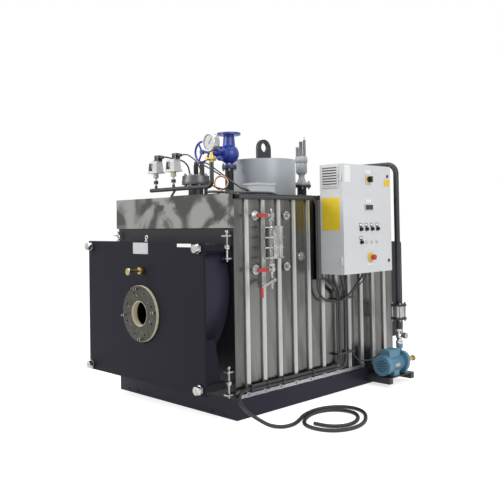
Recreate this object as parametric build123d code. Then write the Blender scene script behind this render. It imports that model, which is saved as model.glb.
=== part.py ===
from build123d import *
from math import cos, pi, radians, sin, tan
import os

os.makedirs("parts", exist_ok=True)

# Packaged fire-tube steam boiler on a skid, in millimetres.
# X runs to the right along the burner front, Y to the rear, Z up.
# The origin is the centre of the base, at floor level.

# Overall sizes
base_w = 1320
base_l = 1806
base_h = 135
casing_top_z = 1480
sheet = 3
gap = 0.3

# Base skirt
skirt_t = 8
skirt_lip = 60
cross_w = 90
cross_back_f = 300
cross_back_r = 1500
anchor_d = 14
anchor_z = 26
anchor_x_in = 427
anchor_x_out = 537
anchor_x_rear = 482

# Pressure vessel
shell_r = 607
shell_t = 10
shell_z = 866
shell_l = 1740
plate_t = 16
furnace_z = 672
furnace_r = 250
furnace_t = 12
furnace_l = 1350
tube_r = 31.5
tube_wall = 4
ring_1_r = 312
ring_1_n = 18
ring_2_r = 378
ring_2_from = -30
ring_2_step = 20
ring_2_n = 13
saddle_t = 16
saddle_w = 900
saddle_top = 420

# Front smoke box
smoke_l = 249
smoke_top_z = 1095
smoke_gap_ring = 18

# Casing
front_sheet_t = 4
panel_in = 10
rib_w = 34
rib_h = 12
rib_first = 108
rib_pitch = 157
band_z = 1255
band_over = 5
band_t = 13
rear_box_w = 1288
rear_box_z0 = 318
rear_box_z1 = 1111
rear_box_l = 170
rear_box_round = 20
flue_r = 125
flue_l = 90
flue_z = 800
flue_deep = 82
flue_wall = 5

# Burner door
door_w = 1323
door_z0 = 204
door_z1 = 1169
door_face = 272
door_t = 16
corner_in = 41
lining_t = 60
lining_edge = 40
lining_slope = 1.75
sleeve_r = 30
sleeve_bore = 11
sleeve_end = 78
bolt_r = 10
cap_nut_r = 27
cap_nut_l = 45
pin_back = 30
pin_r = 7
eye_r = 19
eye_h = 24
pin_half = 95
lug_half = 74
lug_t = 10
lug_w = 40
gusset_t = 10
gusset_h = 272
burner_x = 5
burner_bore = 88
burner_r = 192
burner_t = 22
burner_pcd = 152
burner_bolt_n = 8
burner_bolt_d = 14
sight_x = 26
sight_z = 969
sight_l = 130
sight_r = 21
sight_bore = 11

# Dome and its lifting lug
dome_back = 966
dome_r = 263
dome_top = 1793
dome_wall = 4
lug_back = 973
lug_len = 152
lug_plate = 25
lug_top = 1968
lug_hole_r = 37
lug_hole_z = 1903
lug_notch = 20

# Steam outlet: nozzle, globe valve and handwheel
steam_back = 585
steam_pipe_r = 34
steam_joint_z = 1724
steam_collar_r = 58
steam_collar_t = 14
steam_top_z = 1991
steam_flange_r = 92.5
steam_flange_t = 18
steam_pcd = 72.5
steam_bolt_n = 8
steam_bolt_d = 18
steam_bore = 32.5
steam_neck_r = 42
steam_belly_r = 78
steam_low_r = 32
steam_low_bore = 25
valve_axis_z = 1826
bonnet_r = 57
bonnet_face = 95
bonnet_t = 16
yoke_l = 190
wheel_out = 279
wheel_r = 85
wheel_rim = 8
stem_r = 9

# Safety valve
safety_back = 1444
safety_flange_z = 1607
safety_flange_r = 80
safety_flange_t = 20
safety_neck_r = 26
safety_drum_r = 48.5
safety_cap_r = 54
safety_drum_z = 1713
safety_cap_z = 1799
safety_cap_h = 53

# Level probes in their pot
pot_back = 240
pot_r = 56
pot_flange_z = 1577
pot_flange_r = 104
pot_flange_t = 32
probe_r = 17
probe_h = 86
probe_nut_r = 20
probe_nut_h = 14
probe_places = ((-20, 20), (50, 20))

# Manifold with switches, gauge and siphon
manifold_back = 92
manifold_z = 1545
manifold_r = 15
manifold_x0 = -355
manifold_bend = 40
manifold_feed_x = 281
bracket_x0 = -115
bracket_x1 = 416
bracket_h = 14
switch_x = (-292, -80)
switch_z = 1672
switch_w = 115
switch_d = 78
switch_h = 80
switch_plate = 12
switch_cap = 44
switch_gland_z = 118
branch_h = 34
branch_r = 8
gauge_x = 345
gauge_z = 1850
gauge_r = 62
gauge_d = 48
gauge_lip = 5
cock_z = 1712
cock_h = 50
siphon_x = 262
siphon_back = 256
siphon_z = 1578
siphon_r = 48
siphon_tube = 6

# Junction box on the top
jbox_x0 = 300
jbox_x1 = 440
jbox_back = 440
jbox_l = 190
jbox_h = 80
jbox_lid = 16
jbox_lip = 6

# Cable ways on the right side
way_out = 40
way_t = 2
top_way_h = 32
top_way_l = 732
low_way_z = 197
low_way_from = 100
duct_back = 822
duct_w = 50
duct_out = 23
duct_low_z = 861
cable_x = 682
cable_back = 1060
cable_r = 11
cable_gap = 1
cable_pitch = 70
cable_bend = 60
lead_r = 7
wire_r = 5
strap_t = 14
high_strap_z = 697
low_strap_z = 283
strap_rows = (265, 422, 736)
strap_h = 58

# Control cabinet
cab_x0 = 690
cab_d = 210
cab_back = 848
cab_w = 600
cab_z = 903
cab_h = 800
cab_t = 3
cab_door_d = 22
cab_lip = 25
cab_hinge_r = 5
cab_hinge_pin = 2.5
cab_hinge_h = 28
cab_hinge_out = 6
cab_hinge_in = 100
rail_w = 30
rail_in = 60
plate_in = 12
plate_edge = 40
module_h = (80, 90, 60)
module_d = 57
module_pitch = 230
control_t = 4
isolator_back = 1158
isolator_z = 1596
isolator_plate = 33
isolator_r = 22
estop_back = 1166
estop_z = 1018
estop_ring = 36
estop_r = 20
estop_stem = 9
estop_collar = 15
estop_collar_h = 14
estop_travel = 6
selector_z = 1228
selector_back = 1052
selector_pitch = 69
selector_r = 12
lamp_z = 1132
lamp_pitch = 64
lamp_r = 10
display_back = 1155
display_z = 1388
display_w = 100
display_h = 44

# Water level gauge
cock_back = 192
cock_x = 716
level_top_z = 1335
level_low_z = 971
column_back = 290
column_r = 11
gland_far = 22
nut_h = 16
rose_r = 34
rose_t = 12
lever_back = 240
lever_l = 104
lever_h = 24
lever_t = 9
guard_z0 = 1048
guard_z1 = 1254
guard_back0 = 223
guard_back1 = 417
guard_rod = 5
strip_backs = (322, 380)
strip_w = 34
drain_z = 900
drain_reach = 118
drain_drop = 43
drain_sleeve = 68
plug_places = ((504, 1334), (501, 977), (654, 1042))
plug_r = 30

# Feed pump and its riser
pump_x = 816
pump_axis_z = 162
console_z = 28
console_h = 48
console_t = 6
console_x1 = 887
console_front = 1404
console_rear = 1745
rail_deep = 45
motor_front = 1403
motor_r = 76
motor_body_r = 66
cowl_l = 62
box_top_z = 274
volute_back = 1655
volute_r = 84
volute_t = 34
outlet_r = 27
outlet_z = 302
ball_top_z = 422
ball_r = 25
ball_axis_z = 372
spindle_out = 42
knob_r = 24
knob_l = 24
riser_r = 22
riser_bend = 75
check_z = 498
check_h = 121
check_flange_r = 62
check_flange_t = 15
check_body_r = 42
stud_pcd = 50
elbow_z = 1738
feed_in_x = 180

# Hose on the floor: it leaves a clip at the front end of the low tray and lies in two oval turns
hose_r = 12.5
hose_bend = 400
hose_x = 683
clip_half = 26
clip_l = 14
coil_x = 1106
coil_back = 457
coil_out_x = 234.5
coil_out_y = 290
coil_in_x = 153
coil_in_y = 176

front_y = -base_l / 2
half_w = base_w / 2
panel_x = half_w - panel_in
hinge_x = door_w / 2 - corner_in
corner_z = [door_z0 + corner_in - 1, door_z1 - corner_in + 1]


def back(distance):
    """Y of a point that lies this far behind the casing front."""
    return front_y + distance


def block(x0, x1, y0, y1, z0, z1):
    """Box between two corners."""
    size = (x1 - x0, y1 - y0, z1 - z0)
    centre = ((x0 + x1) / 2, (y0 + y1) / 2, (z0 + z1) / 2)
    return Pos(*centre) * Box(*size)


def rod_z(x, y, z0, z1, r):
    """Upright round bar."""
    return Pos(x, y, (z0 + z1) / 2) * Cylinder(r, z1 - z0)


def rod_y(x, z, y0, y1, r):
    """Round bar along Y."""
    return Pos(x, (y0 + y1) / 2, z) * Rot(90, 0, 0) * Cylinder(r, y1 - y0)


def rod_x(y, z, x0, x1, r):
    """Round bar along X."""
    return Pos((x0 + x1) / 2, y, z) * Rot(0, 90, 0) * Cylinder(r, x1 - x0)


def cone_z(x, y, z0, z1, r0, r1):
    """Upright cone, r0 at its lower end."""
    return Pos(x, y, (z0 + z1) / 2) * Cone(r0, r1, z1 - z0)


def bolt_circle_z(x, y, z0, z1, pcd_r, n, d):
    """Bolt holes through a level flange, none on the centre lines."""
    holes = []
    for i in range(n):
        a = 2 * pi * (i + 0.5) / n
        holes.append(rod_z(x + pcd_r * cos(a), y + pcd_r * sin(a), z0, z1, d / 2))
    return holes


def bolt_circle_y(x, z, y0, y1, pcd_r, n, d):
    """Bolt holes through a flange that faces Y."""
    holes = []
    for i in range(n):
        a = 2 * pi * (i + 0.5) / n
        holes.append(rod_y(x + pcd_r * cos(a), z + pcd_r * sin(a), y0, y1, d / 2))
    return holes


def pipe_run(points, r, bend):
    """Solid pipe along straight legs with rounded corners."""
    radii = [bend] * (len(points) - 2)
    path = FilletPolyline(*points, radius=radii)
    start = Plane(origin=path @ 0, z_dir=path % 0)
    return sweep(start * Circle(r), path=path)


def soft_run(points, r, bend):
    """Solid cable through hand-picked points, with the largest arcs that fit, up to a limit."""
    radii = []
    for a, b, c in zip(points, points[1:], points[2:]):
        run_in = Vector(*b) - Vector(*a)
        run_out = Vector(*c) - Vector(*b)
        turn = radians(run_in.get_angle(run_out))
        fits = 0.45 * min(run_in.length, run_out.length) / tan(turn / 2)
        radii.append(min(bend, fits))
    path = FilletPolyline(*points, radius=radii)
    start = Plane(origin=path @ 0, z_dir=path % 0)
    return sweep(start * Circle(r), path=path), radii, path.length


def turned(x, y, points):
    """Body of revolution round an upright axis, from (radius, z) points."""
    outline = Polyline(*[(r, 0, z) for r, z in points], close=True)
    return Pos(x, y, 0) * revolve(make_face(outline), Axis.Z)


def at_back(points):
    """Points given by their distance behind the casing front."""
    return [(x, back(b), z) for x, b, z in points]


def save(name, shape):
    """Write one sub-part under its own name."""
    shape.label = name
    export_step(shape, "parts/" + name + ".step")


# Base frame: a skirt of folded plate with two cross members
def make_base():
    y0 = front_y
    y1 = -front_y
    frame = block(-half_w, half_w, y0, y1, 0, base_h)
    inner_w = half_w - skirt_t
    frame -= block(-inner_w, inner_w, y0 + skirt_t, y1 - skirt_t, skirt_t, base_h - skirt_t)
    hole_w = half_w - skirt_lip
    frame -= block(-hole_w, hole_w, y0 + skirt_lip, y1 - skirt_lip, -1, base_h + 1)
    for b in (cross_back_f, base_l / 2, cross_back_r):
        y = back(b)
        frame += block(-inner_w, inner_w, y - cross_w / 2, y + cross_w / 2, 0, base_h)
    for x in (-anchor_x_out, -anchor_x_in, anchor_x_in, anchor_x_out):
        frame -= rod_y(x, anchor_z, y0 - 1, y0 + skirt_t + 1, anchor_d / 2)
    for x in (-anchor_x_rear, anchor_x_rear):
        frame -= rod_y(x, anchor_z, y1 - skirt_t - 1, y1 + 1, anchor_d / 2)
    for saddle in make_saddles():
        frame += saddle
    save("base_frame", frame)


# Saddles that carry the shell
def make_saddles():
    saddles = []
    for b in (cross_back_f, cross_back_r):
        y = back(b)
        plate = block(-saddle_w / 2, saddle_w / 2, y - saddle_t / 2, y + saddle_t / 2, base_h, saddle_top)
        plate -= rod_y(0, shell_z, y - saddle_t, y + saddle_t, shell_r + gap)
        saddles.append(plate)
    return saddles


def tube_places():
    """Centres of the smoke tubes, as (x, z)."""
    places = []
    for i in range(ring_1_n):
        a = 2 * pi * (i + 0.5) / ring_1_n
        places.append((ring_1_r * cos(a), furnace_z + ring_1_r * sin(a)))
    for i in range(ring_2_n):
        a = radians(ring_2_from + ring_2_step * i)
        places.append((ring_2_r * cos(a), furnace_z + ring_2_r * sin(a)))
    return places


# Pressure vessel: barrel, tube plates, furnace and smoke tubes
def make_vessel():
    y0 = front_y
    y1 = back(shell_l)
    barrel = rod_y(0, shell_z, y0, y1, shell_r)
    barrel -= rod_y(0, shell_z, y0 - 1, y1 - plate_t, shell_r - shell_t)
    save("shell_barrel", barrel)

    plate_r = shell_r - shell_t - gap
    front = rod_y(0, shell_z, y0, y0 + plate_t, plate_r)
    front -= rod_y(0, furnace_z, y0 - 1, y0 + plate_t + 1, furnace_r + gap)
    for x, z in tube_places():
        front -= rod_y(x, z, y0 - 1, y0 + plate_t + 1, tube_r + gap)
    save("front_tube_plate", front)

    furnace = rod_y(0, furnace_z, y0 - 2, y0 + furnace_l, furnace_r)
    furnace -= rod_y(0, furnace_z, y0 - 3, y0 + furnace_l - furnace_t, furnace_r - furnace_t)
    save("furnace", furnace)

    tubes = []
    for x, z in tube_places():
        tube = rod_y(x, z, y0 - 2, y1 - plate_t, tube_r)
        tube -= rod_y(x, z, y0 - 3, y1 - plate_t + 1, tube_r - tube_wall)
        tubes.append(tube)
    save("smoke_tubes", Compound(children=tubes))


def smoke_outline(r, top):
    """Round shell section cut flat at the top, as a face seen along Y."""
    disc = Pos(0, shell_z) * Circle(r)
    cut_h = 2 * r
    disc -= Pos(0, top + cut_h / 2) * Rectangle(3 * r, cut_h)
    return disc


def front_plane(distance):
    """Plane parallel to the front; its local Y is up and it extrudes forwards."""
    return Plane(origin=(0, back(distance), 0), x_dir=(1, 0, 0), z_dir=(0, -1, 0))


def ring_slab(outer, inner, distance, depth):
    """Outline minus its inner outline, from the given distance forwards."""
    slab = extrude(front_plane(distance) * outer, depth)
    if inner is not None:
        slab -= extrude(front_plane(distance + 1) * inner, depth + 2)
    return slab


# Front smoke box between the tube plate and the burner door
def make_smoke_box():
    outer = smoke_outline(shell_r, smoke_top_z)
    inner = smoke_outline(shell_r - shell_t, smoke_top_z - shell_t)
    save("smoke_box", ring_slab(outer, inner, 0, smoke_l))


def rib_rows():
    """Y of each upright rib that has room on the side sheet."""
    count = int((base_l - rib_first - rib_w) / rib_pitch) + 1
    return [back(rib_first + i * rib_pitch) for i in range(count)]


# Casing of sheet panels; the sides are stiffened by upright ribs
def make_casing():
    y0 = front_y
    y1 = -front_y
    sheet_z1 = casing_top_z - sheet
    front_half = panel_x + sheet
    front = block(-front_half, front_half, y0, y0 + front_sheet_t, base_h, sheet_z1)
    hole = smoke_outline(shell_r + smoke_gap_ring, smoke_top_z + smoke_gap_ring)
    front -= extrude(front_plane(front_sheet_t + 1) * hole, front_sheet_t + 2)
    front = Pos(0, -front_sheet_t, 0) * front
    for pin in make_hinge_pins():
        front += pin
    save("casing_front", front)

    for name, side in (("casing_right", 1), ("casing_left", -1)):
        x_out = panel_x + sheet
        panel = block(panel_x, x_out, y0, y1, base_h, casing_top_z)
        for y in rib_rows():
            panel += block(x_out, x_out + rib_h, y - rib_w / 2, y + rib_w / 2, base_h, casing_top_z)
        if side < 0:
            panel = mirror(panel, about=Plane.YZ)
        save(name, panel)

    top = block(-panel_x, panel_x, y0, y1, sheet_z1, casing_top_z)
    top -= rod_z(0, back(dome_back), sheet_z1 - 1, casing_top_z + 1, dome_r - 20)
    save("casing_top", top)

    rear = block(-panel_x, panel_x, y1 - sheet, y1, base_h, sheet_z1)
    save("casing_rear", rear)

    band_half = half_w + band_over
    band_y1 = y0 - front_sheet_t
    band = block(-band_half, band_half, band_y1 - band_t, band_y1, band_z, casing_top_z)
    save("front_band", band)


# Rear smoke box with its flue spigot
def make_rear_box():
    y1 = -front_y
    mid_z = (rear_box_z0 + rear_box_z1) / 2
    outline = Pos(0, mid_z) * RectangleRounded(rear_box_w, rear_box_z1 - rear_box_z0, rear_box_round)
    plane = Plane(origin=(0, y1 + rear_box_l, 0), x_dir=(1, 0, 0), z_dir=(0, -1, 0))
    box = extrude(plane * outline, rear_box_l)
    spigot = rod_y(0, flue_z, y1 + rear_box_l, y1 + rear_box_l + flue_l, flue_r)
    mouth = y1 + rear_box_l + flue_l
    spigot -= rod_y(0, flue_z, mouth - flue_deep, mouth + 1, flue_r - flue_wall)
    save("rear_smoke_box", box + spigot)


# Burner door: plate with lining, burner flange, corner sleeves and clamps
def make_door():
    face = back(-door_face)
    inner = face + door_t
    plate = block(-door_w / 2, door_w / 2, face, inner, door_z0, door_z1)
    plate -= rod_y(burner_x, furnace_z, face - 1, inner + 1, burner_bore + 12)
    plate -= rod_y(sight_x, sight_z, face - 1, inner + 1, sight_bore + 3)
    for x in (-hinge_x, hinge_x):
        for z in corner_z:
            plate -= rod_y(x, z, face - 1, inner + 1, sleeve_bore)
        foot = inner
        low = corner_z[0] + sleeve_r
        reach = door_face - door_t - sleeve_end
        web = Plane(origin=(x - gusset_t / 2, 0, 0), x_dir=(0, 1, 0), z_dir=(1, 0, 0))
        shape = Polyline(
            (foot, low),
            (foot + reach - 30, low),
            (foot + reach - 75, low + gusset_h),
            (foot, low + gusset_h),
            close=True,
        )
        plate += extrude(web * make_face(shape), gusset_t)
    for x in (-hinge_x, hinge_x):
        for z in corner_z:
            plate += rod_y(x, z, inner, back(-sleeve_end), sleeve_r)
            plate -= rod_y(x, z, inner - 1, back(-sleeve_end) + 1, sleeve_bore)
    save("door_plate", plate)

    big = smoke_outline(shell_r - shell_t - lining_edge, smoke_top_z - shell_t - lining_edge)
    small_edge = lining_edge + lining_slope * lining_t
    small = smoke_outline(shell_r - shell_t - small_edge, smoke_top_z - shell_t - small_edge)
    base_plane = Plane(origin=(0, inner, 0), x_dir=(1, 0, 0), z_dir=(0, -1, 0))
    tip_plane = Plane(origin=(0, inner + lining_t, 0), x_dir=(1, 0, 0), z_dir=(0, -1, 0))
    lining = loft([tip_plane * small, base_plane * big])
    lining -= rod_y(burner_x, furnace_z, inner - 1, inner + lining_t + 1, burner_bore + 12)
    lining -= rod_y(sight_x, sight_z, inner - 1, inner + lining_t + 1, sight_bore)
    save("door_lining", lining)

    flange = rod_y(burner_x, furnace_z, face - burner_t, face, burner_r)
    tube_end = inner + lining_t - 5
    flange += rod_y(burner_x, furnace_z, face, tube_end, burner_bore + 11.7)
    flange -= rod_y(burner_x, furnace_z, face - burner_t - 1, tube_end + 1, burner_bore)
    tip_y = face - burner_t - 1
    holes = bolt_circle_y(burner_x, furnace_z, tip_y, face - 2, burner_pcd, burner_bolt_n, burner_bolt_d)
    for hole in holes:
        flange -= hole
    save("burner_flange", flange)

    sight = rod_y(sight_x, sight_z, face - 34, face, 24)
    sight += rod_y(sight_x, sight_z, face - sight_l, face - 34, sight_bore)
    sight += rod_y(sight_x, sight_z, face - sight_l, face - sight_l + 16, sight_r)
    save("sight_glass", sight)

    bolts = []
    for x in (-hinge_x, hinge_x):
        for z in corner_z:
            bolt = rod_y(x, z, face - cap_nut_l, face, cap_nut_r)
            bolt += rod_y(x, z, face, back(-pin_back) - eye_r + 2, bolt_r)
            eye = rod_z(x, back(-pin_back), z - eye_h / 2, z + eye_h / 2, eye_r)
            eye -= rod_z(x, back(-pin_back), z - eye_h, z + eye_h, pin_r + gap)
            if x < 0:
                slot = pin_r + 1
                eye -= block(x - slot, x + slot, back(-pin_back), back(2), z - eye_h, z + eye_h)
            bolts.append(bolt + eye)
    save("clamp_bolts", Compound(children=bolts))


# Pins and lugs on the body that the clamp bolts hook on
def make_hinge_pins():
    y = back(-pin_back)
    y_wall = front_y - front_sheet_t
    sets = []
    for x in (-hinge_x, hinge_x):
        for z in corner_z:
            pin = rod_z(x, y, z - pin_half, z + pin_half, pin_r)
            for dz in (-lug_half, lug_half):
                half = lug_w / 2
                lug_z = z + dz - lug_t / 2
                pin += block(x - half, x + half, y - pin_back, y_wall, lug_z, lug_z + lug_t)
            pin += rod_z(x, y, z + pin_half, z + pin_half + 14, pin_r + 5)
            sets.append(pin)
    return sets


# Steam dome in its jacket, with the lifting lug
def make_dome():
    y = back(dome_back)
    wall = rod_z(0, y, casing_top_z, dome_top - dome_wall, dome_r)
    wall -= rod_z(0, y, casing_top_z - 1, dome_top, dome_r - dome_wall)
    wall += rod_z(0, y, dome_top - dome_wall, dome_top, dome_r)
    save("dome_jacket", wall)
    plane = Plane(origin=(-lug_plate / 2, back(lug_back), 0), x_dir=(0, 1, 0), z_dir=(1, 0, 0))
    r = lug_len / 2
    outline = Pos(0, lug_top - r) * Circle(r)
    outline += Pos(0, (dome_top + lug_top - r) / 2) * Rectangle(lug_len, lug_top - r - dome_top)
    outline -= Pos(0, lug_hole_z) * Circle(lug_hole_r)
    outline -= Pos(0, dome_top) * Circle(lug_notch)
    save("lifting_lug", extrude(plane * outline, lug_plate))


# Steam outlet: nozzle, globe valve and its handwheel
def make_steam_outlet():
    y = back(steam_back)
    joint = steam_joint_z
    nozzle = rod_z(0, y, casing_top_z, joint - steam_collar_t, steam_pipe_r)
    nozzle += rod_z(0, y, joint - steam_collar_t, joint, steam_collar_r)
    nozzle -= rod_z(0, y, casing_top_z - 1, joint + 1, steam_low_bore)
    ny = back(safety_back)
    nz = safety_flange_z
    riser = rod_z(0, ny, casing_top_z, nz - safety_flange_t, safety_flange_r / 2)
    riser += rod_z(0, ny, nz - safety_flange_t, nz, safety_flange_r)
    save("top_nozzles", Compound(children=[nozzle, riser]))

    top = steam_top_z
    axis_z = valve_axis_z
    neck_low = axis_z + 0.7 * steam_belly_r
    valve = turned(0, y, [
        (0, joint), (steam_collar_r, joint), (steam_collar_r, joint + steam_collar_t),
        (steam_low_r, joint + steam_collar_t + 4), (steam_low_r, axis_z), (steam_neck_r + 8, neck_low),
        (steam_neck_r, top - steam_flange_t), (steam_flange_r, top - steam_flange_t),
        (steam_flange_r, top), (0, top),
    ])
    valve += Pos(0, y, axis_z) * Sphere(steam_belly_r)
    valve += rod_y(0, axis_z, y - bonnet_face, y, bonnet_r - 10)
    valve += rod_y(0, axis_z, y - bonnet_face, y - bonnet_face + 2 * bonnet_t, bonnet_r)
    valve += rod_y(0, axis_z, y - yoke_l, y - bonnet_face, 2 * stem_r)
    valve += rod_y(0, axis_z, y - yoke_l + 10, y - yoke_l + 34, 3 * stem_r)
    valve -= rod_z(0, y, joint - 1, axis_z - steam_belly_r / 2, steam_low_bore)
    valve -= rod_z(0, y, axis_z + steam_belly_r / 2, top + 1, steam_bore)
    holes_z = top - steam_flange_t - 1
    for hole in bolt_circle_z(0, y, holes_z, top + 1, steam_pcd, steam_bolt_n, steam_bolt_d):
        valve -= hole
    valve -= rod_y(0, axis_z, y - yoke_l - 1, y - yoke_l + 40, stem_r + gap)
    save("steam_valve", valve)

    wy = y - wheel_out
    ring_r = wheel_r - wheel_rim
    wheel = Pos(0, wy, axis_z) * Rot(90, 0, 0) * Torus(ring_r, wheel_rim)
    wheel += rod_y(0, axis_z, wy - 10, wy + 12, 2 * stem_r)
    for i in range(3):
        spoke = Pos(0, 0, ring_r / 2) * Box(12, 8, ring_r)
        wheel += Pos(0, wy, axis_z) * Rot(0, 90 + 120 * i, 0) * spoke
    wheel += rod_y(0, axis_z, wy, y - yoke_l + 30, stem_r)
    save("steam_handwheel", wheel)


# Spring safety valve on its nozzle
def make_safety_valve():
    y = back(safety_back)
    z0 = safety_flange_z
    foot = z0 + safety_flange_t
    body = turned(0, y, [
        (0, z0), (safety_flange_r - 4, z0), (safety_flange_r - 4, foot), (safety_neck_r + 16, foot),
        (safety_neck_r, (foot + safety_drum_z) / 2), (safety_neck_r, safety_drum_z - 22),
        (safety_drum_r, safety_drum_z), (safety_drum_r, safety_cap_z), (0, safety_cap_z),
    ])
    save("safety_valve_body", body)
    cap_top = safety_cap_z + safety_cap_h
    cap = turned(0, y, [
        (0, safety_cap_z), (safety_cap_r - 3, safety_cap_z), (safety_cap_r, safety_cap_z + 4),
        (safety_cap_r, cap_top - 8), (safety_cap_r - 8, cap_top), (0, cap_top),
    ])
    for reach, height, r in ((-34, 83, 13), (-3, 132, 15), (28, 145, 12)):
        cap += rod_z(0.7 * reach, y + 0.7 * reach, cap_top, cap_top + height, r)
    cap += rod_z(0.7 * 28, y + 0.7 * 28, cap_top + 145, cap_top + 175, 3)
    save("safety_valve_cap", cap)


# Probe pot with two level probes
def make_probe_pot():
    y = back(pot_back)
    half_t = pot_flange_t
    pot = rod_z(0, y, casing_top_z, pot_flange_z, pot_r)
    pot += rod_z(0, y, pot_flange_z, pot_flange_z + half_t - 1, pot_flange_r)
    pot += rod_z(0, y, pot_flange_z + half_t - 1, pot_flange_z + 2 * half_t, pot_flange_r - 3)
    save("probe_pot", pot)
    z = pot_flange_z + 2 * half_t
    probes = []
    for dx, dy in probe_places:
        probe = rod_z(dx, y + dy, z, z + probe_nut_h, probe_nut_r)
        probe += rod_z(dx, y + dy, z + probe_nut_h, z + probe_h, probe_r)
        probe += rod_z(dx, y + dy, z + probe_h, z + probe_h + 20, probe_r - 5)
        probes.append(probe)
    save("level_probes", Compound(children=probes))


# Manifold with two pressure switches and the pressure gauge
def make_manifold():
    y = back(manifold_back)
    z = manifold_z
    run = [(manifold_x0, y, z), (gauge_x, y, z), (gauge_x, y, cock_z)]
    pipe = pipe_run(run, manifold_r, manifold_bend)
    for x in switch_x:
        pipe += rod_z(x, y, z, z + branch_h, branch_r + 3)
    pipe += rod_z(manifold_feed_x, y, casing_top_z, z, manifold_r - 2)
    foot_z = casing_top_z + bracket_h
    bracket = block(bracket_x0, bracket_x1, y - 5, y + 5, casing_top_z, foot_z)
    lean = z - foot_z
    strut = Polyline(
        (bracket_x0, foot_z), (bracket_x0 + 20, foot_z), (bracket_x0 + 20 + lean, z), (bracket_x0 + lean, z),
        close=True,
    )
    face = Plane(origin=(0, y + 5, 0), x_dir=(1, 0, 0), z_dir=(0, -1, 0))
    bracket += extrude(face * make_face(strut), 10)
    save("manifold", pipe + bracket)

    switches = []
    for x in switch_x:
        base = switch_z
        switch = rod_z(x, y, z + branch_h, base, branch_r)
        switch += rod_z(x, y, z + branch_h + 12, z + branch_h + 40, 2 * branch_r)
        switch += rod_z(x, y, base - branch_h, base, 2.5 * branch_r)
        half = switch_w / 2
        deep = switch_d / 2
        switch += block(x - half, x + half, y - deep, y + deep, base, base + switch_plate)
        lid = Pos(x, y, base + switch_plate) * Rectangle(switch_w - 11, switch_d - 8)
        switch += extrude(lid, switch_h, taper=5)
        top = base + switch_plate + switch_h
        half = switch_cap / 2
        switch += block(x + 10, x + 10 + switch_cap, y - half, y + half, top, top + switch_cap)
        reach = x + 10 + switch_cap
        switch += rod_x(y, base + switch_gland_z, reach, reach + 40, 11)
        switches.append(switch)
    save("pressure_switches", Compound(children=switches))

    cock = rod_z(gauge_x, y, cock_z, cock_z + cock_h, 17)
    cock += rod_y(gauge_x, cock_z + cock_h / 2, y - 52, y + 34, 13)
    cock += rod_x(y, cock_z + cock_h / 2, gauge_x - 40, gauge_x + 34, 10)
    cock += rod_z(gauge_x, y, cock_z + cock_h, gauge_z - gauge_r, 10)
    ring_place = Pos(siphon_x, back(siphon_back), siphon_z) * Rot(0, 0, 45) * Rot(90, 0, 0)
    siphon = ring_place * Torus(siphon_r, siphon_tube)
    ring_low = siphon_z - siphon_r
    siphon += rod_z(siphon_x, back(siphon_back), casing_top_z, ring_low, siphon_tube + 4)
    siphon += rod_z(siphon_x, back(siphon_back), casing_top_z, casing_top_z + 22, siphon_tube + 9)
    save("gauge_cock", Compound(children=[cock, siphon]))
    gauge = rod_y(gauge_x, gauge_z, y - gauge_d / 2, y + gauge_d / 2, gauge_r)
    gauge -= rod_y(gauge_x, gauge_z, y - gauge_d / 2 - 1, y - gauge_d / 2 + 8, gauge_r - gauge_lip)
    save("pressure_gauge", gauge)


# Junction box between the dome and the right edge
def make_junction_box():
    y0 = back(jbox_back)
    y1 = y0 + jbox_l
    z = casing_top_z + jbox_h
    lip = jbox_lip
    box = block(jbox_x0, jbox_x1, y0, y1, casing_top_z, z)
    lid = block(jbox_x0 - lip, jbox_x1 + lip, y0 - lip, y1 + lip, z, z + jbox_lid)
    save("junction_box", box + lid)


# Cable ways on the right side
def make_cable_ways():
    x0 = panel_x + sheet + rib_h
    x1 = x0 + way_out
    y0 = front_y + 5
    z1 = casing_top_z - 2
    z0 = z1 - top_way_h
    tray = block(x0, x1, y0, y0 + top_way_l, z0, z1)
    tray -= block(x0 + way_t, x1 - way_t, y0 - 1, y0 + top_way_l + 1, z0 + way_t, z1 + 1)
    duct_y = back(duct_back)
    duct = block(x0, x0 + duct_out, duct_y, duct_y + duct_w, duct_low_z, z0)
    duct += block(x0, x0 + duct_out + 5, duct_y - 6, duct_y + duct_w + 6, duct_low_z, duct_low_z + strap_t)
    clip_y = back(low_way_from)
    clip_z = (low_way_z - clip_half, low_way_z + clip_half)
    clip = block(x0, hose_x + clip_half - 6, clip_y, clip_y + clip_l, *clip_z)
    save("cable_trays", Compound(children=[tray, duct, clip]))


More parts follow.
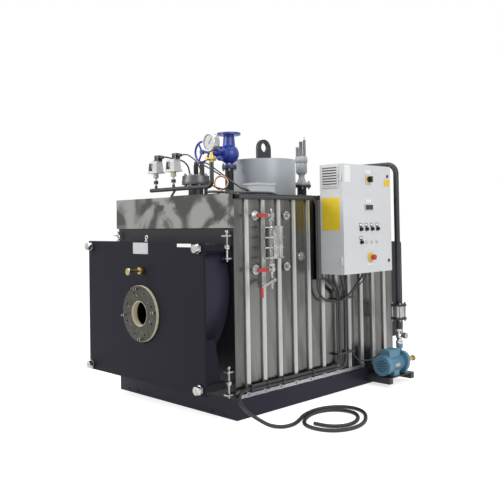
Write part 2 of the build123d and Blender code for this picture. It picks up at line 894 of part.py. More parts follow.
# Cables that straps and clips hold all the way
def make_cables():
    x0 = panel_x + sheet + rib_h
    high_z = low_way_z + cable_r + cable_gap
    low_z = low_way_z - cable_r - cable_gap
    clip_end = low_way_from + clip_l
    first = cable_back
    second = cable_back + cable_pitch
    strap_x = x0 + 2 * strap_t
    motor_x = pump_x - 42
    runs = [
        ([(735, 930, cab_z), (735, 930, 868), (cable_x, first, 745), (cable_x, first, high_z),
          (cable_x, clip_end, high_z)], cable_r),
        ([(745, 1010, cab_z), (745, 1010, 868), (cable_x, second, 760), (cable_x, second, low_z),
          (cable_x, clip_end, low_z)], cable_r),
        ([(740, 1330, cab_z), (740, 1330, 850), (690, 1216, 740), (690, 1216, 262), (705, 1262, 212),
          (735, 1350, 205), (748, 1420, 222), (752, 1478, 242), (motor_x, 1478, 242)], wire_r),
        ([(740, 1080, cab_z), (740, 1080, 868), (684, 1098, 750), (684, 1098, 705)], lead_r),
        ([(720, 895, cab_z), (720, 895, 870), (684, 1032, 745), (684, 1032, 705)], lead_r),
    ]
    bundle = None
    for points, r in runs:
        cable, radii, length = soft_run(at_back(points), r, cable_bend)
        print("cable radii", [round(v) for v in radii], "length", round(length))
        bundle = cable if bundle is None else bundle + cable
    for z in (high_strap_z, low_strap_z):
        bundle += block(x0, strap_x + 3, back(1018), back(1234), z, z + strap_t)
    for b in strap_rows:
        z = low_way_z - strap_h / 2
        bundle += block(x0, strap_x + 5, back(b) - strap_t / 2, back(b) + strap_t / 2, z, z + strap_h)

    front = manifold_back
    gland_z = switch_z + switch_gland_z
    gland_x = [x + 50 + switch_cap for x in switch_x]
    pot_top = pot_flange_z + 2 * pot_flange_t
    plug_z = pot_top + probe_h + 10
    feed_x = manifold_feed_x + manifold_r - 1.7
    looped = [
        ([(685, 640, 1466), (685, 806, 1466), (685, 806, 780), (692, 870, 712), (706, 960, 688),
          (709, 1060, 692), (714, 1150, 735), (726, 1240, 815), (735, 1290, 868), (735, 1290, cab_z)], 8),
        ([(feed_x, front, 1508), (350, 96, 1508), (420, 122, 1502), (520, 150, 1491),
          (640, 235, 1492), (684, 330, 1489), (685, 430, 1466), (685, 600, 1466)], 9),
        ([(gland_x[1], front, gland_z), (85, front, gland_z), (165, 110, 1735), (205, 130, 1640),
          (250, 180, 1550), (330, 320, 1512), (370, 400, 1512), (370, jbox_back, 1512)], wire_r),
        ([(-9, 254, plug_z), (40, 225, plug_z + 2), (120, 225, 1712), (215, 290, 1640), (290, 370, 1570),
          (322, 412, 1535), (322, jbox_back, 1535)], wire_r),
        ([(62.5, 260, plug_z), (110, 262, plug_z - 6), (190, 310, 1660), (290, 395, 1560),
          (348, 418, 1525), (348, jbox_back, 1525)], wire_r),
        ([(gland_x[0], front, gland_z), (-172, front, gland_z), (-125, 160, 1772), (-75, 185, 1758),
          (-40, 200, 1720), (-32, 207, 1675), (-32, 207, pot_top)], wire_r + 1),
    ]
    cables = [bundle]
    for points, r in looped:
        cable, radii, length = soft_run(at_back(points), r, 2 * cable_bend)
        print("cable radii", [round(v) for v in radii], "length", round(length))
        cables.append(cable)
    save("cables", Compound(children=cables))


# Control cabinet with its door and controls
def make_cabinet():
    x0 = cab_x0
    x1 = cab_x0 + cab_d - cab_door_d
    y0 = back(cab_back)
    y1 = y0 + cab_w
    z0 = cab_z
    z1 = cab_z + cab_h
    wall = cab_t
    box = block(x0, x1, y0, y1, z0, z1)
    box -= block(x0 + wall, x1 + 1, y0 + wall, y1 - wall, z0 + wall, z1 - wall)
    rim = block(x1 - wall, x1, y0, y1, z0, z1)
    rim -= block(x1 - wall - 1, x1 + 1, y0 + cab_lip, y1 - cab_lip, z0 + cab_lip, z1 - cab_lip)
    box += rim
    for z in (z0 + rail_in, z1 - rail_in):
        box += block(panel_x + sheet + rib_h, x0, y0 + rail_in, y1 - rail_in, z - rail_w / 2, z + rail_w / 2)
    dx0 = x1 + gap
    dx1 = x0 + cab_d
    hinge_cx = dx0 + cab_hinge_out
    hinge_cy = y0 - cab_hinge_out
    hinge_z = (z0 + cab_hinge_in, z1 - cab_hinge_in)
    for z in hinge_z:
        box += block(x1 - rail_w, hinge_cx, hinge_cy + 2, y0, z - cab_hinge_h, z)
        box += rod_z(hinge_cx, hinge_cy, z - cab_hinge_h, z, cab_hinge_r)
        box += rod_z(hinge_cx, hinge_cy, z, z + cab_hinge_h, cab_hinge_pin)
    save("cabinet_body", box)

    px = x0 + wall + plate_in
    edge = plate_edge
    plate = block(px, px + wall, y0 + edge, y1 - edge, z0 + edge, z1 - edge)
    for y in (y0 + 1.5 * edge, y1 - 1.5 * edge):
        for z in (z0 + 1.5 * edge, z1 - 1.5 * edge):
            plate += rod_x(y, z, x0 + wall, px, 6)
    for i, h in enumerate(module_h):
        z = z0 + (z1 - z0) / 2 + (i - 1) * module_pitch
        plate += block(px + wall, px + wall + module_d, y0 + 2 * edge, y1 - 2 * edge, z - h / 2, z + h / 2)
    save("cabinet_plate", plate)

    skin = 2
    door = block(dx0, dx1, y0 + 1, y1 - 1, z0 + 1, z1 - 1)
    door -= block(dx0 - 1, dx1 - skin, y0 + 1 + skin, y1 - 1 - skin, z0 + 1 + skin, z1 - 1 - skin)
    for z in hinge_z:
        z_low = z + gap
        door += block(hinge_cx - 2, hinge_cx + 2, hinge_cy, y0 + 1, z_low, z + cab_hinge_h)
        door += rod_z(hinge_cx, hinge_cy, z_low, z + cab_hinge_h, cab_hinge_r)
        door -= rod_z(hinge_cx, hinge_cy, z - 1, z + cab_hinge_h + 1, cab_hinge_pin + gap)
    save("cabinet_door", door)
    make_controls(dx1)


def control_places():
    """Centres of the five selectors, as (distance behind the front, z)."""
    places = [(selector_back + i * selector_pitch, selector_z) for i in range(4)]
    places.append((selector_back + 3, lamp_z))
    return places


# Controls on the cabinet door: fixed plates and rings, and the pieces that turn or push
def make_controls(x):
    face = x + control_t
    plates = []
    iso_y = back(isolator_back)
    half = isolator_plate
    plates.append(block(x, face, iso_y - half, iso_y + half, isolator_z - half, isolator_z + half))
    stop_y = back(estop_back)
    collar_x = face + estop_collar_h
    stop = rod_x(stop_y, estop_z, x, face, estop_ring)
    stop += rod_x(stop_y, estop_z, x, collar_x, estop_collar)
    stop -= rod_x(stop_y, estop_z, x - 1, collar_x + 1, estop_stem + gap)
    plates.append(stop)
    for b, z in control_places():
        plates.append(rod_x(back(b), z, x, face, selector_r + 3))
    for i in range(1, 4):
        y = back(selector_back + 3 + i * lamp_pitch)
        plates.append(rod_x(y, lamp_z, x, face, lamp_r + 3) + rod_x(y, lamp_z, face, face + lamp_r, lamp_r))
    show_y = back(display_back)
    half_h = display_h / 2
    half_l = display_w / 2
    low_z = display_z - half_h
    display = block(x, face + control_t, show_y - half_l, show_y + half_l, low_z, low_z + display_h)
    plates.append(display)
    save("door_controls", Compound(children=plates))

    knob_x = face + gap
    knob = rod_x(iso_y, isolator_z, knob_x, knob_x + 14, isolator_r)
    low_z = isolator_z - isolator_r
    knob += block(knob_x + 14, knob_x + 34, iso_y - 6, iso_y + 6, low_z, low_z + 2 * isolator_r)
    save("isolator_knob", knob)
    head_x = collar_x + estop_travel + gap
    button = rod_x(stop_y, estop_z, head_x, head_x + estop_r, estop_r)
    button += rod_x(stop_y, estop_z, x + estop_travel + gap, head_x, estop_stem)
    save("estop_button", button)
    for i, (b, z) in enumerate(control_places()):
        sel = rod_x(back(b), z, knob_x, knob_x + 6, selector_r)
        sel += block(knob_x + 6, knob_x + 20, back(b) - 4, back(b) + 4, z - selector_r, z + selector_r)
        save("selector_" + str(i + 1), sel)


# Water level gauge with its cocks on the right side
def make_level_gauge():
    x_wall = panel_x + sheet
    y = back(cock_back)
    yc = back(column_back)
    seat = cock_x + 16
    hub_y = back(lever_back)
    cocks = []
    for z in (level_top_z, level_low_z):
        cock = rod_x(y, z, x_wall, x_wall + rose_t, rose_r)
        cock += rod_x(y, z, x_wall + rose_t, cock_x + 10, 14)
        cock += rod_y(cock_x, z, y - 20, yc, 11)
        cock += rod_x(hub_y, z, cock_x, seat, 15)
        cock += rod_x(yc, z, cock_x - 16, seat, 19)
        cocks.append(cock)
    glass_z0 = level_low_z + gland_far
    glass_z1 = level_top_z - gland_far
    nut_r = column_r + 4
    cocks[0] += rod_z(cock_x, yc, glass_z1 - nut_h, level_top_z, nut_r)
    cocks[0] += rod_z(cock_x, yc, level_top_z, level_top_z + 34, 9)
    cocks[0] += Pos(cock_x, yc, level_top_z + 34) * Sphere(14)
    cocks[1] += rod_z(cock_x, yc, level_low_z, glass_z0 + nut_h, nut_r)
    cocks[0] -= rod_z(cock_x, yc, glass_z1 - nut_h - 1, glass_z1 + gap, column_r + gap)
    cocks[1] -= rod_z(cock_x, yc, glass_z0 - gap, glass_z0 + nut_h + 1, column_r + gap)
    save("level_glass", rod_z(cock_x, yc, glass_z0, glass_z1, column_r))

    guard = None
    front = cock_x + guard_rod
    for b in strip_backs:
        half = strip_w / 2
        strip = block(front - 1, front + 3, back(b) - half, back(b) + half, guard_z0 - 8, guard_z1 + 8)
        guard = strip if guard is None else guard + strip
    for i in range(4):
        z = guard_z0 + i * (guard_z1 - guard_z0) / 3
        guard += rod_y(cock_x, z, back(guard_back0), back(guard_back1), guard_rod)
        guard += rod_z(cock_x, yc, z - 5, z + 5, column_r + 5)
        guard -= rod_z(cock_x, yc, z - 6, z + 6, column_r + gap)
    save("level_guard", guard)

    cocks[1] += rod_z(cock_x, yc, drain_z - 60, level_low_z, 9)
    cocks[1] += rod_x(yc, drain_z, cock_x - 14, seat, 17)
    for b, z in plug_places:
        plug = rod_x(back(b), z, x_wall, x_wall + rose_t, plug_r)
        plug += rod_x(back(b), z, x_wall + rose_t, x_wall + 2 * rose_t, plug_r / 2)
        cocks.append(plug)
    save("level_cocks", Compound(children=cocks))

    x0 = seat + gap
    x1 = x0 + lever_t
    for name, z in (("upper_lever", level_top_z), ("lower_lever", level_low_z)):
        lever = rod_x(hub_y, z, x0, x1, 11)
        lever += block(x0 + 1, x1, hub_y - lever_l, hub_y, z - lever_h / 2, z + lever_h / 2)
        save(name, lever)
    tip_y = yc - drain_reach
    tip_z = drain_z - drain_drop
    lever = rod_x(yc, drain_z, x0, x1, 12)
    plane = Plane(origin=(x0 + 1, 0, 0), x_dir=(0, 1, 0), z_dir=(1, 0, 0))
    arm = Polyline(
        (yc, drain_z - 7), (yc, drain_z + 7), (tip_y, tip_z + 7), (tip_y - 11, tip_z - 6),
        (tip_y - 11, tip_z - drain_sleeve), (tip_y + 11, tip_z - drain_sleeve), (tip_y + 11, tip_z - 6),
        close=True,
    )
    lever += extrude(plane * make_face(arm), lever_t - 1)
    save("drain_lever", lever)


# Feed pump on its console, with riser, stop valve and check valve
def make_pump():
    z0 = console_z
    z1 = console_z + console_h
    deck = z1 - console_t
    f = back(console_front)
    r = back(console_rear)
    rails = block(half_w, console_x1, f, f + rail_deep, z0, deck)
    rails += block(half_w, console_x1, r - rail_deep, r, z0, deck)
    rails += block(half_w, console_x1, f, r, deck, z1)
    save("pump_console", rails)
    make_motor(z1)
    make_feed_line()


# Motor with its cowl, terminal box and foot, and the pump casing behind it
def make_motor(deck):
    x = pump_x
    z = pump_axis_z
    f = back(motor_front)
    v = back(volute_back)
    motor = rod_y(x, z, f, f + cowl_l, motor_r)
    motor += rod_y(x, z, f + cowl_l, v - 40, motor_body_r)
    for i in range(12):
        a = radians(15 + 30 * i)
        fin = Pos(x + motor_body_r * cos(a), (f + cowl_l + v - 60) / 2, z + motor_body_r * sin(a))
        motor += fin * Rot(0, -15 - 30 * i, 0) * Box(14, v - 60 - f - cowl_l, 4)
    motor += block(x - 42, x + 42, f + 50, v - 60, z + 40, box_top_z)
    motor += block(x - 55, x + 55, f + 90, f + 160, deck, z - 40)
    save("pump_motor", motor)

    plane = Plane(origin=(x, v + volute_t / 2, z), x_dir=(1, 0, 0), z_dir=(0, -1, 0))
    scroll = Circle(volute_r) + Pos(volute_r / 4, volute_r / 4) * Circle(volute_r * 0.8)
    volute = extrude(plane * scroll, volute_t)
    volute += rod_y(x, z, v - 40, v - volute_t / 2, motor_body_r - 6)
    volute += rod_y(x, z, v + volute_t / 2, v + volute_t / 2 + 34, 34)
    volute += cone_z(x, v, z + volute_r / 2, outlet_z - 30, outlet_r - 2, outlet_r - 10)
    volute += rod_z(x, v, outlet_z - 30, outlet_z, outlet_r)
    volute += block(x - 50, x + 60, v - 12, v + 12, deck, z)
    save("pump_volute", volute)


# Suction fitting, stop valve, check valve and riser
def make_feed_line():
    x = pump_x
    z = pump_axis_z
    v = back(volute_back)
    inlet = v + volute_t / 2 + 34
    fitting = rod_y(x, z, inlet, inlet + 30, 26)
    fitting += rod_y(x, z, inlet + 30, inlet + 66, 20)
    fitting -= rod_y(x, z, inlet + 26, inlet + 67, 12)
    valve = rod_z(x, v, outlet_z, ball_top_z, ball_r - 4)
    valve += rod_z(x, v, outlet_z, outlet_z + 26, ball_r)
    valve += rod_z(x, v, ball_top_z - 26, ball_top_z, ball_r)
    valve += Pos(x, v, (outlet_z + ball_top_z) / 2) * Sphere(ball_r + 3)
    valve += rod_x(v, ball_axis_z, x, x + spindle_out, 10)
    save("pump_fittings", Compound(children=[fitting, valve]))
    knob_x = x + spindle_out + gap
    save("feed_valve_knob", rod_x(v, ball_axis_z, knob_x, knob_x + knob_l, knob_r))

    check_top = check_z + check_h
    t = check_flange_t
    check = rod_z(x, v, ball_top_z, check_z, riser_r)
    check += rod_z(x, v, check_z, check_z + t, check_flange_r)
    check += rod_z(x, v, check_z + t, check_top - t, check_body_r)
    check += rod_z(x, v, check_top - t, check_top, check_flange_r)
    for i in range(4):
        a = radians(45 + 90 * i)
        check += rod_z(x + stud_pcd * cos(a), v + stud_pcd * sin(a), check_z - 14, check_top + 14, 7)
    save("check_valve", check)
    riser = pipe_run(
        [(x, v, check_top), (x, v, elbow_z), (feed_in_x, v, elbow_z), (feed_in_x, v, casing_top_z)],
        riser_r,
        riser_bend,
    )
    save("feed_riser", riser)


# Hose that lies on the floor beside the base
def make_hose():
    floor = hose_r
    points = [
        (hose_x, back(low_way_from), low_way_z),
        (hose_x, back(35), low_way_z),
        (708, back(-25), 172),
        (742, back(-52), 140),
        (795, back(-54), 104),
        (840, back(-31), 72),
        (885, back(4), 38),
        (935, back(24), 19),
        (988, back(66), floor),
        (1006, back(130), floor),
        (997, back(192), floor),
    ]
    tube, radii, length = soft_run(points, hose_r, hose_bend)
    print("hose radii", [round(v) for v in radii])
    print("hose volume ratio", round(tube.volume / (pi * hose_r ** 2 * length), 4))
    save("floor_hose", tube)

    oval = Ellipse(coil_out_x, coil_out_y) - Ellipse(coil_in_x, coil_in_y)
    coil = Pos(coil_x, back(coil_back), 0) * extrude(oval, 2 * hose_r)
    save("hose_coil", coil - tube)


make_base()
make_vessel()
make_smoke_box()
make_casing()
make_rear_box()
make_door()
make_dome()
make_steam_outlet()
make_safety_valve()
make_probe_pot()
make_manifold()
make_junction_box()
make_cable_ways()
make_cables()
make_cabinet()
make_level_gauge()
make_pump()
make_hose()
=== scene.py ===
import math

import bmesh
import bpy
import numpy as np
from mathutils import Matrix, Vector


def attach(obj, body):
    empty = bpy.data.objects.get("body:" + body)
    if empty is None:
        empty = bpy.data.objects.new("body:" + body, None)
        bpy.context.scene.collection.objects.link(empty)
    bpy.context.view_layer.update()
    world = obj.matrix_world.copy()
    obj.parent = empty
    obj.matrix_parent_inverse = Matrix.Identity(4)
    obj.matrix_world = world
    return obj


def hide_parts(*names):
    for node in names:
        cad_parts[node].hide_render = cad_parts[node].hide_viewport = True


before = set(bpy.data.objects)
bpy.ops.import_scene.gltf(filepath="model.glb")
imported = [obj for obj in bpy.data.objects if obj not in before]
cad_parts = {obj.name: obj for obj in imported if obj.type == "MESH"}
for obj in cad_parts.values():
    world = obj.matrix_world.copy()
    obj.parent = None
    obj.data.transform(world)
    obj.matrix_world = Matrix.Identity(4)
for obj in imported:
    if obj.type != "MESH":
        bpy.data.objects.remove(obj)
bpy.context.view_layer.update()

# %% [markdown]
# # A packaged steam boiler
#
# The frame that was just loaded holds every rigid piece of the boiler at its real size: the
# casing, the burner door, the valves, the cabinet and the pump. This lesson gives each of them
# its finish and adds what is too small or too soft for the construction model: bolts and nuts,
# cable ribs, perforations, slats, dials and the hose on the floor.

FRONT_MM = 903   # the front of the casing lies this far before the middle of the part
STUDIO_M = 60    # width of the white floor, and as far as the camera sees


# %% [markdown]
# ## The camera
#
# A camera is known by where it stands, where it looks and how long its lens is. Here all three
# come from the straight edges of the photograph. The lens was tilted up a little less than the
# picture suggests, because the picture is cut from a larger one: a lens shift puts that back,
# and keeps upright edges nearly upright.

# %% Place the camera
CAMERA_AT = Vector((3.9554, -4.0385, 1.2820))
CAMERA_AZIMUTH = math.radians(45.77)
CAMERA_TILT = math.radians(-1.3)
CAMERA_ROLL = math.radians(-0.92)
FOCAL_MM = 50.12
SENSOR_MM = 36.0
SHIFT_X = 0.0163
SHIFT_Y = -0.0844

backward = Vector((
    math.sin(CAMERA_AZIMUTH) * math.cos(CAMERA_TILT),
    -math.cos(CAMERA_AZIMUTH) * math.cos(CAMERA_TILT),
    math.sin(CAMERA_TILT),
))
level = Vector((math.cos(CAMERA_AZIMUTH), math.sin(CAMERA_AZIMUTH), 0))
upward = backward.cross(level)
right = level * math.cos(CAMERA_ROLL) + upward * math.sin(CAMERA_ROLL)
up = upward * math.cos(CAMERA_ROLL) - level * math.sin(CAMERA_ROLL)

camera_data = bpy.data.cameras.new("camera")
camera_data.sensor_width = SENSOR_MM
camera_data.lens = FOCAL_MM
camera_data.shift_x = SHIFT_X
camera_data.shift_y = SHIFT_Y
camera_data.clip_end = STUDIO_M
camera = bpy.data.objects.new("camera", camera_data)
bpy.context.scene.collection.objects.link(camera)
turn = Matrix((right, up, backward)).transposed().to_4x4()
camera.matrix_world = Matrix.Translation(CAMERA_AT) @ turn
bpy.context.scene.camera = camera
print("camera at", tuple(CAMERA_AT))

# %% [markdown]
# ## Colour and nodes
#
# Colours are written as the hex codes that a paint chart gives. Shaders work with linear light,
# so one function turns a code into linear values. A second function adds a node, with its
# settings and links, and a third starts a material with its name and the numbers that are the
# same all over the surface. The others each give a surface one thing: clouds of noise, two
# tones, uneven dullness, and relief.

# %% Helpers for materials
def hex_rgb(code):
    """sRGB hex colour as the linear values of a shader."""
    linear = []
    for start in (0, 2, 4):
        part = int(code[start:start + 2], 16) / 255
        linear.append(part / 12.92 if part <= 0.04045 else ((part + 0.055) / 1.055) ** 2.4)
    return (*linear, 1.0)


def add(tree, kind, inputs=(), **settings):
    """One node; inputs gives sockets a value or another node's output."""
    node = tree.nodes.new(kind)
    for key, value in settings.items():
        setattr(node, key, value)
    for socket, value in dict(inputs).items():
        if isinstance(value, bpy.types.NodeSocket):
            tree.links.new(value, node.inputs[socket])
        else:
            node.inputs[socket].default_value = value
    return node


def start_material(name, roughness, metallic=0.0, **shader):
    """A new material with its shader and object coordinates in metres."""
    material = bpy.data.materials.new(name)
    material.use_nodes = True
    tree = material.node_tree
    surface = tree.nodes["Principled BSDF"]
    surface.inputs["Roughness"].default_value = roughness
    surface.inputs["Metallic"].default_value = metallic
    for socket, value in shader.items():
        surface.inputs[socket.replace("_", " ")].default_value = value
    place = add(tree, "ShaderNodeTexCoord").outputs["Object"]
    return material, tree, surface, place


def noise(tree, place, size_mm, detail):
    """Clouds of one size."""
    clouds = add(tree, "ShaderNodeTexNoise", {"Vector": place, "Scale": 1000 / size_mm,
                                              "Detail": detail})
    return clouds.outputs["Fac"]


def stretched(tree, place, sizes_mm, detail, curl=0.0):
    """Clouds with their own size along each axis; curl bends them."""
    scales = tuple(1000 / size for size in sizes_mm)
    scaled = add(tree, "ShaderNodeMapping", {"Vector": place, "Scale": scales})
    clouds = add(tree, "ShaderNodeTexNoise", {"Vector": scaled.outputs["Vector"], "Scale": 1.0,
                                              "Detail": detail, "Distortion": curl})
    return clouds.outputs["Fac"]


def two_tones(tree, surface, share, dark, light):
    """Base colour that goes from a dark hex code to a light one."""
    tone = add(tree, "ShaderNodeMix", {"Factor": share, "A": hex_rgb(dark), "B": hex_rgb(light)},
               data_type="RGBA")
    tree.links.new(tone.outputs["Result"], surface.inputs["Base Color"])


def dullness(tree, surface, share, least, most):
    """Roughness that goes from its least to its most."""
    gloss = add(tree, "ShaderNodeMapRange", {"Value": share, "To Min": least, "To Max": most})
    tree.links.new(gloss.outputs["Result"], surface.inputs["Roughness"])


def relief(tree, surface, height, depth_mm):
    """Bumps of a depth."""
    bump = add(tree, "ShaderNodeBump", {"Height": height, "Distance": depth_mm / 1000})
    tree.links.new(bump.outputs["Normal"], surface.inputs["Normal"])


# %% [markdown]
# ## Painted steel
#
# The door, the smoke box and the base are steel plate with a sprayed alkyd enamel. Wet spray
# pulls itself into a faint orange peel with dimples a few millimetres apart, so the highlight
# breaks up a little, and dust dulls it unevenly. Noise at those two scales gives both, and
# costs nothing in geometry.

# %% Paint
PATCH_MM = 260.0   # size of the clouds of dust on paint


def painted(name, dark, light, roughness, peel_mm=5.0, peel_depth=0.05, **shader):
    """Sprayed paint: cloudy colour, uneven dullness and orange peel."""
    material, tree, surface, place = start_material(name, roughness, **shader)
    patches = noise(tree, place, PATCH_MM, 4.0)
    two_tones(tree, surface, patches, dark, light)
    dullness(tree, surface, patches, roughness - 0.07, roughness + 0.09)
    relief(tree, surface, noise(tree, place, peel_mm, 1.0), peel_depth)
    return material


# Alkyd enamel sprayed on plate: a dark, slightly blue coat. Chalk and dust take most of its
# shine, so its specular level is under the usual half.
navy_enamel = painted("navy_alkyd_enamel", "201f2a", "2a2838", 0.42, Specular_IOR_Level=0.16)
# The door's coat: darker than the rest, and nearly matt.
door_enamel = painted("dark_navy_door_enamel", "19191f", "212029", 0.50, Specular_IOR_Level=0.07)
black_enamel = painted("black_alkyd_enamel", "0f1014", "1b1c20", 0.42, Specular_IOR_Level=0.3)
# Thin sprayed coat on pipe and flange: a closed satin black.
satin_black = painted("satin_black_coating", "17181a", "252629", 0.46, peel_mm=3.0)
# The same coat, thinner, on cable ways: the zinc below greys it.
tray_coating = painted("dark_grey_coating_on_zinc", "1d1e21", "2d2e32", 0.42, peel_mm=2.0)
duct_coating = painted("mid_grey_coating_on_zinc", "48494b", "5c5d5f", 0.45, peel_mm=2.0)
# Baked polyester powder on cabinet sheet: an even pale grey with a fine crushed grain.
grey_powder = painted("light_grey_textured_powder", "c3c5c8", "d1d3d5", 0.50,
                      peel_mm=1.6, peel_depth=0.06)
# Stove lacquer on rolled sheet: smooth, cool grey.
dome_lacquer = painted("grey_stove_lacquer", "949aa1", "a6abb1", 0.34)
box_lacquer = painted("pale_grey_lacquer", "b3b6b9", "c3c6c9", 0.45, peel_mm=2.0)
valve_grey = painted("grey_enamel_on_cast_steel", "94979a", "a9acaf", 0.38,
                     peel_mm=6.0, peel_depth=0.3)
# Enamel over rough cast iron: the sand of the mould still shows as lumps.
valve_enamel = painted("cobalt_enamel_on_cast_iron", "182a7a", "26409c", 0.32,
                       peel_mm=7.0, peel_depth=0.45)
motor_enamel = painted("steel_blue_enamel_on_cast_iron", "48758e", "608da5", 0.40, peel_depth=0.3)
print("paints", navy_enamel.name, black_enamel.name, grey_powder.name)

# %% [markdown]
# ## Metals
#
# The casing is thin stainless sheet with a bright rolled finish. It mirrors the room, but it is
# never flat: slow upright waves between the ribs stretch what it shows, and the rolling leaves
# fine lines. On the casing, the band and the plated parts, the crisp clouds of dark and light in
# the colour are painted reflections. Bars, cocks and nuts are turned, brushed or plated and show
# finer scratches. One recipe serves them all, with the size of the waves and of the lines in
# millimetres.

# %% Sheet and bar
def bare_metal(name, dark, light, roughness, wave_mm, wave_depth,
               line_mm=(1.2, 1.2, 90.0), edge=0.5, curl=0.5):
    """Bare metal: cloudy colour and waves of one size, scratches of another.

    A small edge makes the border between dark and light clouds crisp; on mirror-like metal these
    clouds are painted reflections. Curl bends the clouds."""
    material, tree, surface, place = start_material(name, roughness, metallic=1.0)
    waves = stretched(tree, place, wave_mm, 3.0, curl)
    clouds = add(tree, "ShaderNodeMapRange",
                 {"Value": waves, "From Min": 0.5 - edge, "From Max": 0.5 + edge},
                 interpolation_type="SMOOTHSTEP")
    two_tones(tree, surface, clouds.outputs["Result"], dark, light)
    scratches = stretched(tree, place, line_mm, 2.0)
    dullness(tree, surface, scratches, roughness - 0.05, roughness + 0.08)
    relief(tree, surface, waves, wave_depth)
    return material


# Cold rolled stainless sheet: grey mirror; its upright smears of dark and light colour are painted
# reflections.
casing_steel_painted_reflections = bare_metal("rolled_stainless_sheet", "565654", "757573", 0.24, (150, 150, 620), 1.4,
                          edge=0.2)
# Brushed cover profiles: scratched along their length, so they catch light from every side.
rib_steel = bare_metal("brushed_cover_profile", "a4a4a3", "c2c2c0", 0.42, (120, 120, 400), 0.3)
# Mirror polished band: its crisp, stretched clouds of dark and light colour are painted
# reflections.
band_steel_painted_reflections = bare_metal("mirror_polished_stainless", "565654", "9c9c99", 0.11, (360, 360, 420), 3.0,
                        edge=0.08, curl=1.4)
# Turned and brushed bar: soft highlights.
brushed_bar = bare_metal("brushed_stainless_bar", "8f8f8f", "b9b9b9", 0.28, (60, 60, 60), 0.3)
# Nickel and chrome plate: bright, slightly warm; its crisp clouds of dark and light colour are
# painted reflections.
plated = bare_metal("nickel_plated_steel", "858583", "cbcbc7", 0.17, (45, 45, 60), 0.2, edge=0.3)
# Hot rolled plate, oiled: brown-grey and blotchy.
mill_steel = bare_metal("oiled_mill_steel", "383733", "504e48", 0.40, (40, 40, 40), 0.4, (9, 9, 9))
# Blasted and oiled forging: cooler and more even than the plate.
forged_steel = bare_metal("blasted_forged_steel", "4b4c4e", "6a6b6e", 0.42, (50, 50, 50), 0.4,
                          (6, 6, 6))
# Zinc dipped strip and fasteners: pale, dull, faintly spangled.
zinc_plate = bare_metal("zinc_plated_steel", "8f9092", "b4b5b6", 0.36, (22, 22, 22), 0.2)
brass_bar = bare_metal("machined_brass", "8c7840", "c9b673", 0.28, (40, 40, 40), 0.2)
copper_tube = bare_metal("bent_copper_tube", "9a6a50", "d0a98c", 0.30, (25, 25, 25), 0.2)
boiler_plate = bare_metal("scaled_boiler_plate", "2a2827", "45413e", 0.55, (90, 90, 90), 0.6,
                          (20, 20, 20))
print("metals", casing_steel_painted_reflections.name, band_steel_painted_reflections.name, plated.name)

# %% [markdown]
# ## Plastics, rubber, glass and lining
#
# Moulded plastic has an even colour and a fine spark-eroded grain. The lever sleeves are dipped
# soft vinyl, smoother and shinier. Sight glass is real glass, and the lining of the burner door
# is cast refractory with open pores.

# %% Plastics and the rest
CLOUD_GRAINS = 40   # the clouds of colour are this many grains wide


def moulded(name, dark, light, roughness, grain_mm=0.8, grain_depth=0.05, **shader):
    """Moulded or cast stuff: nearly even colour over a fine grain."""
    material, tree, surface, place = start_material(name, roughness, **shader)
    two_tones(tree, surface, noise(tree, place, CLOUD_GRAINS * grain_mm, 2.0), dark, light)
    relief(tree, surface, noise(tree, place, grain_mm, 2.0), grain_depth)
    return material


# Injection moulded ABS and polycarbonate: even colour, soft or clear shine.
black_abs = moulded("black_moulded_abs", "111213", "1c1d1f", 0.42)
grey_abs = moulded("pale_grey_moulded_abs", "b9bab8", "cbccca", 0.42)
yellow_abs = moulded("yellow_moulded_abs", "cfab04", "e6c412", 0.38)
red_abs = moulded("red_moulded_abs", "a3120f", "c22520", 0.28)
red_vinyl = moulded("red_dipped_vinyl", "9b2024", "b93338", 0.34, grain_mm=2.0)
blue_abs = moulded("blue_moulded_abs", "1d3f8f", "2c56b4", 0.35)
# Extruded rubber and nylon: near black, with a dull bloom.
cable_rubber = moulded("black_cable_rubber", "1e1e20", "303033", 0.44, grain_mm=1.5)
hose_nylon = moulded("ribbed_nylon_hose", "0f0f0f", "1b1b1a", 0.35)
# Cast concrete for hot faces: chalky, with open pores.
refractory = moulded("cast_refractory", "a49a88", "c4bba9", 0.85, grain_mm=3.0, grain_depth=0.8)
# Cream and quite matt: the painted highlight on the rim and in the mouth of the burner ring.
burner_edge_highlight = moulded("cream_painted_edge_highlight", "c4bb9f", "e2dac0", 0.90, grain_mm=2, grain_depth=0.4)
dial_card = moulded("white_enamelled_dial", "b2b4b6", "c2c3c4", 0.45)
# Anodised and vinyl foil: flat satin sheet.
silver_foil = moulded("silver_anodised_foil", "a6a8a9", "bcbebf", 0.38)
white_foil = moulded("white_vinyl_foil", "dcdddd", "e6e7e7", 0.45)
yellow_foil = moulded("yellow_vinyl_foil", "d9bd1c", "e8cd30", 0.45)
dark_window = moulded("smoked_window", "15181c", "22262b", 0.15)
# Drawn glass: clear, with a faint green tint.
clear_glass = moulded("borosilicate_glass", "f4f8f8", "ffffff", 0.03,
                      Transmission_Weight=0.9, IOR=1.47)
# A flat pane a millimetre thick: it hardly bends light, so most of it is simply see-through.
thin_pane = moulded("clear_instrument_pane", "eef2f2", "ffffff", 0.05, Alpha=0.10)
print("plastics", black_abs.name, "and", refractory.name)

# %% [markdown]
# ## Finish of every construction node
#
# A node of the frame keeps its own mesh. What it lacks is what a workshop leaves on every edge:
# a small break that catches light. A Weld modifier joins the loose triangles, and a Bevel
# modifier cuts only the edges that are sharper than its limit.

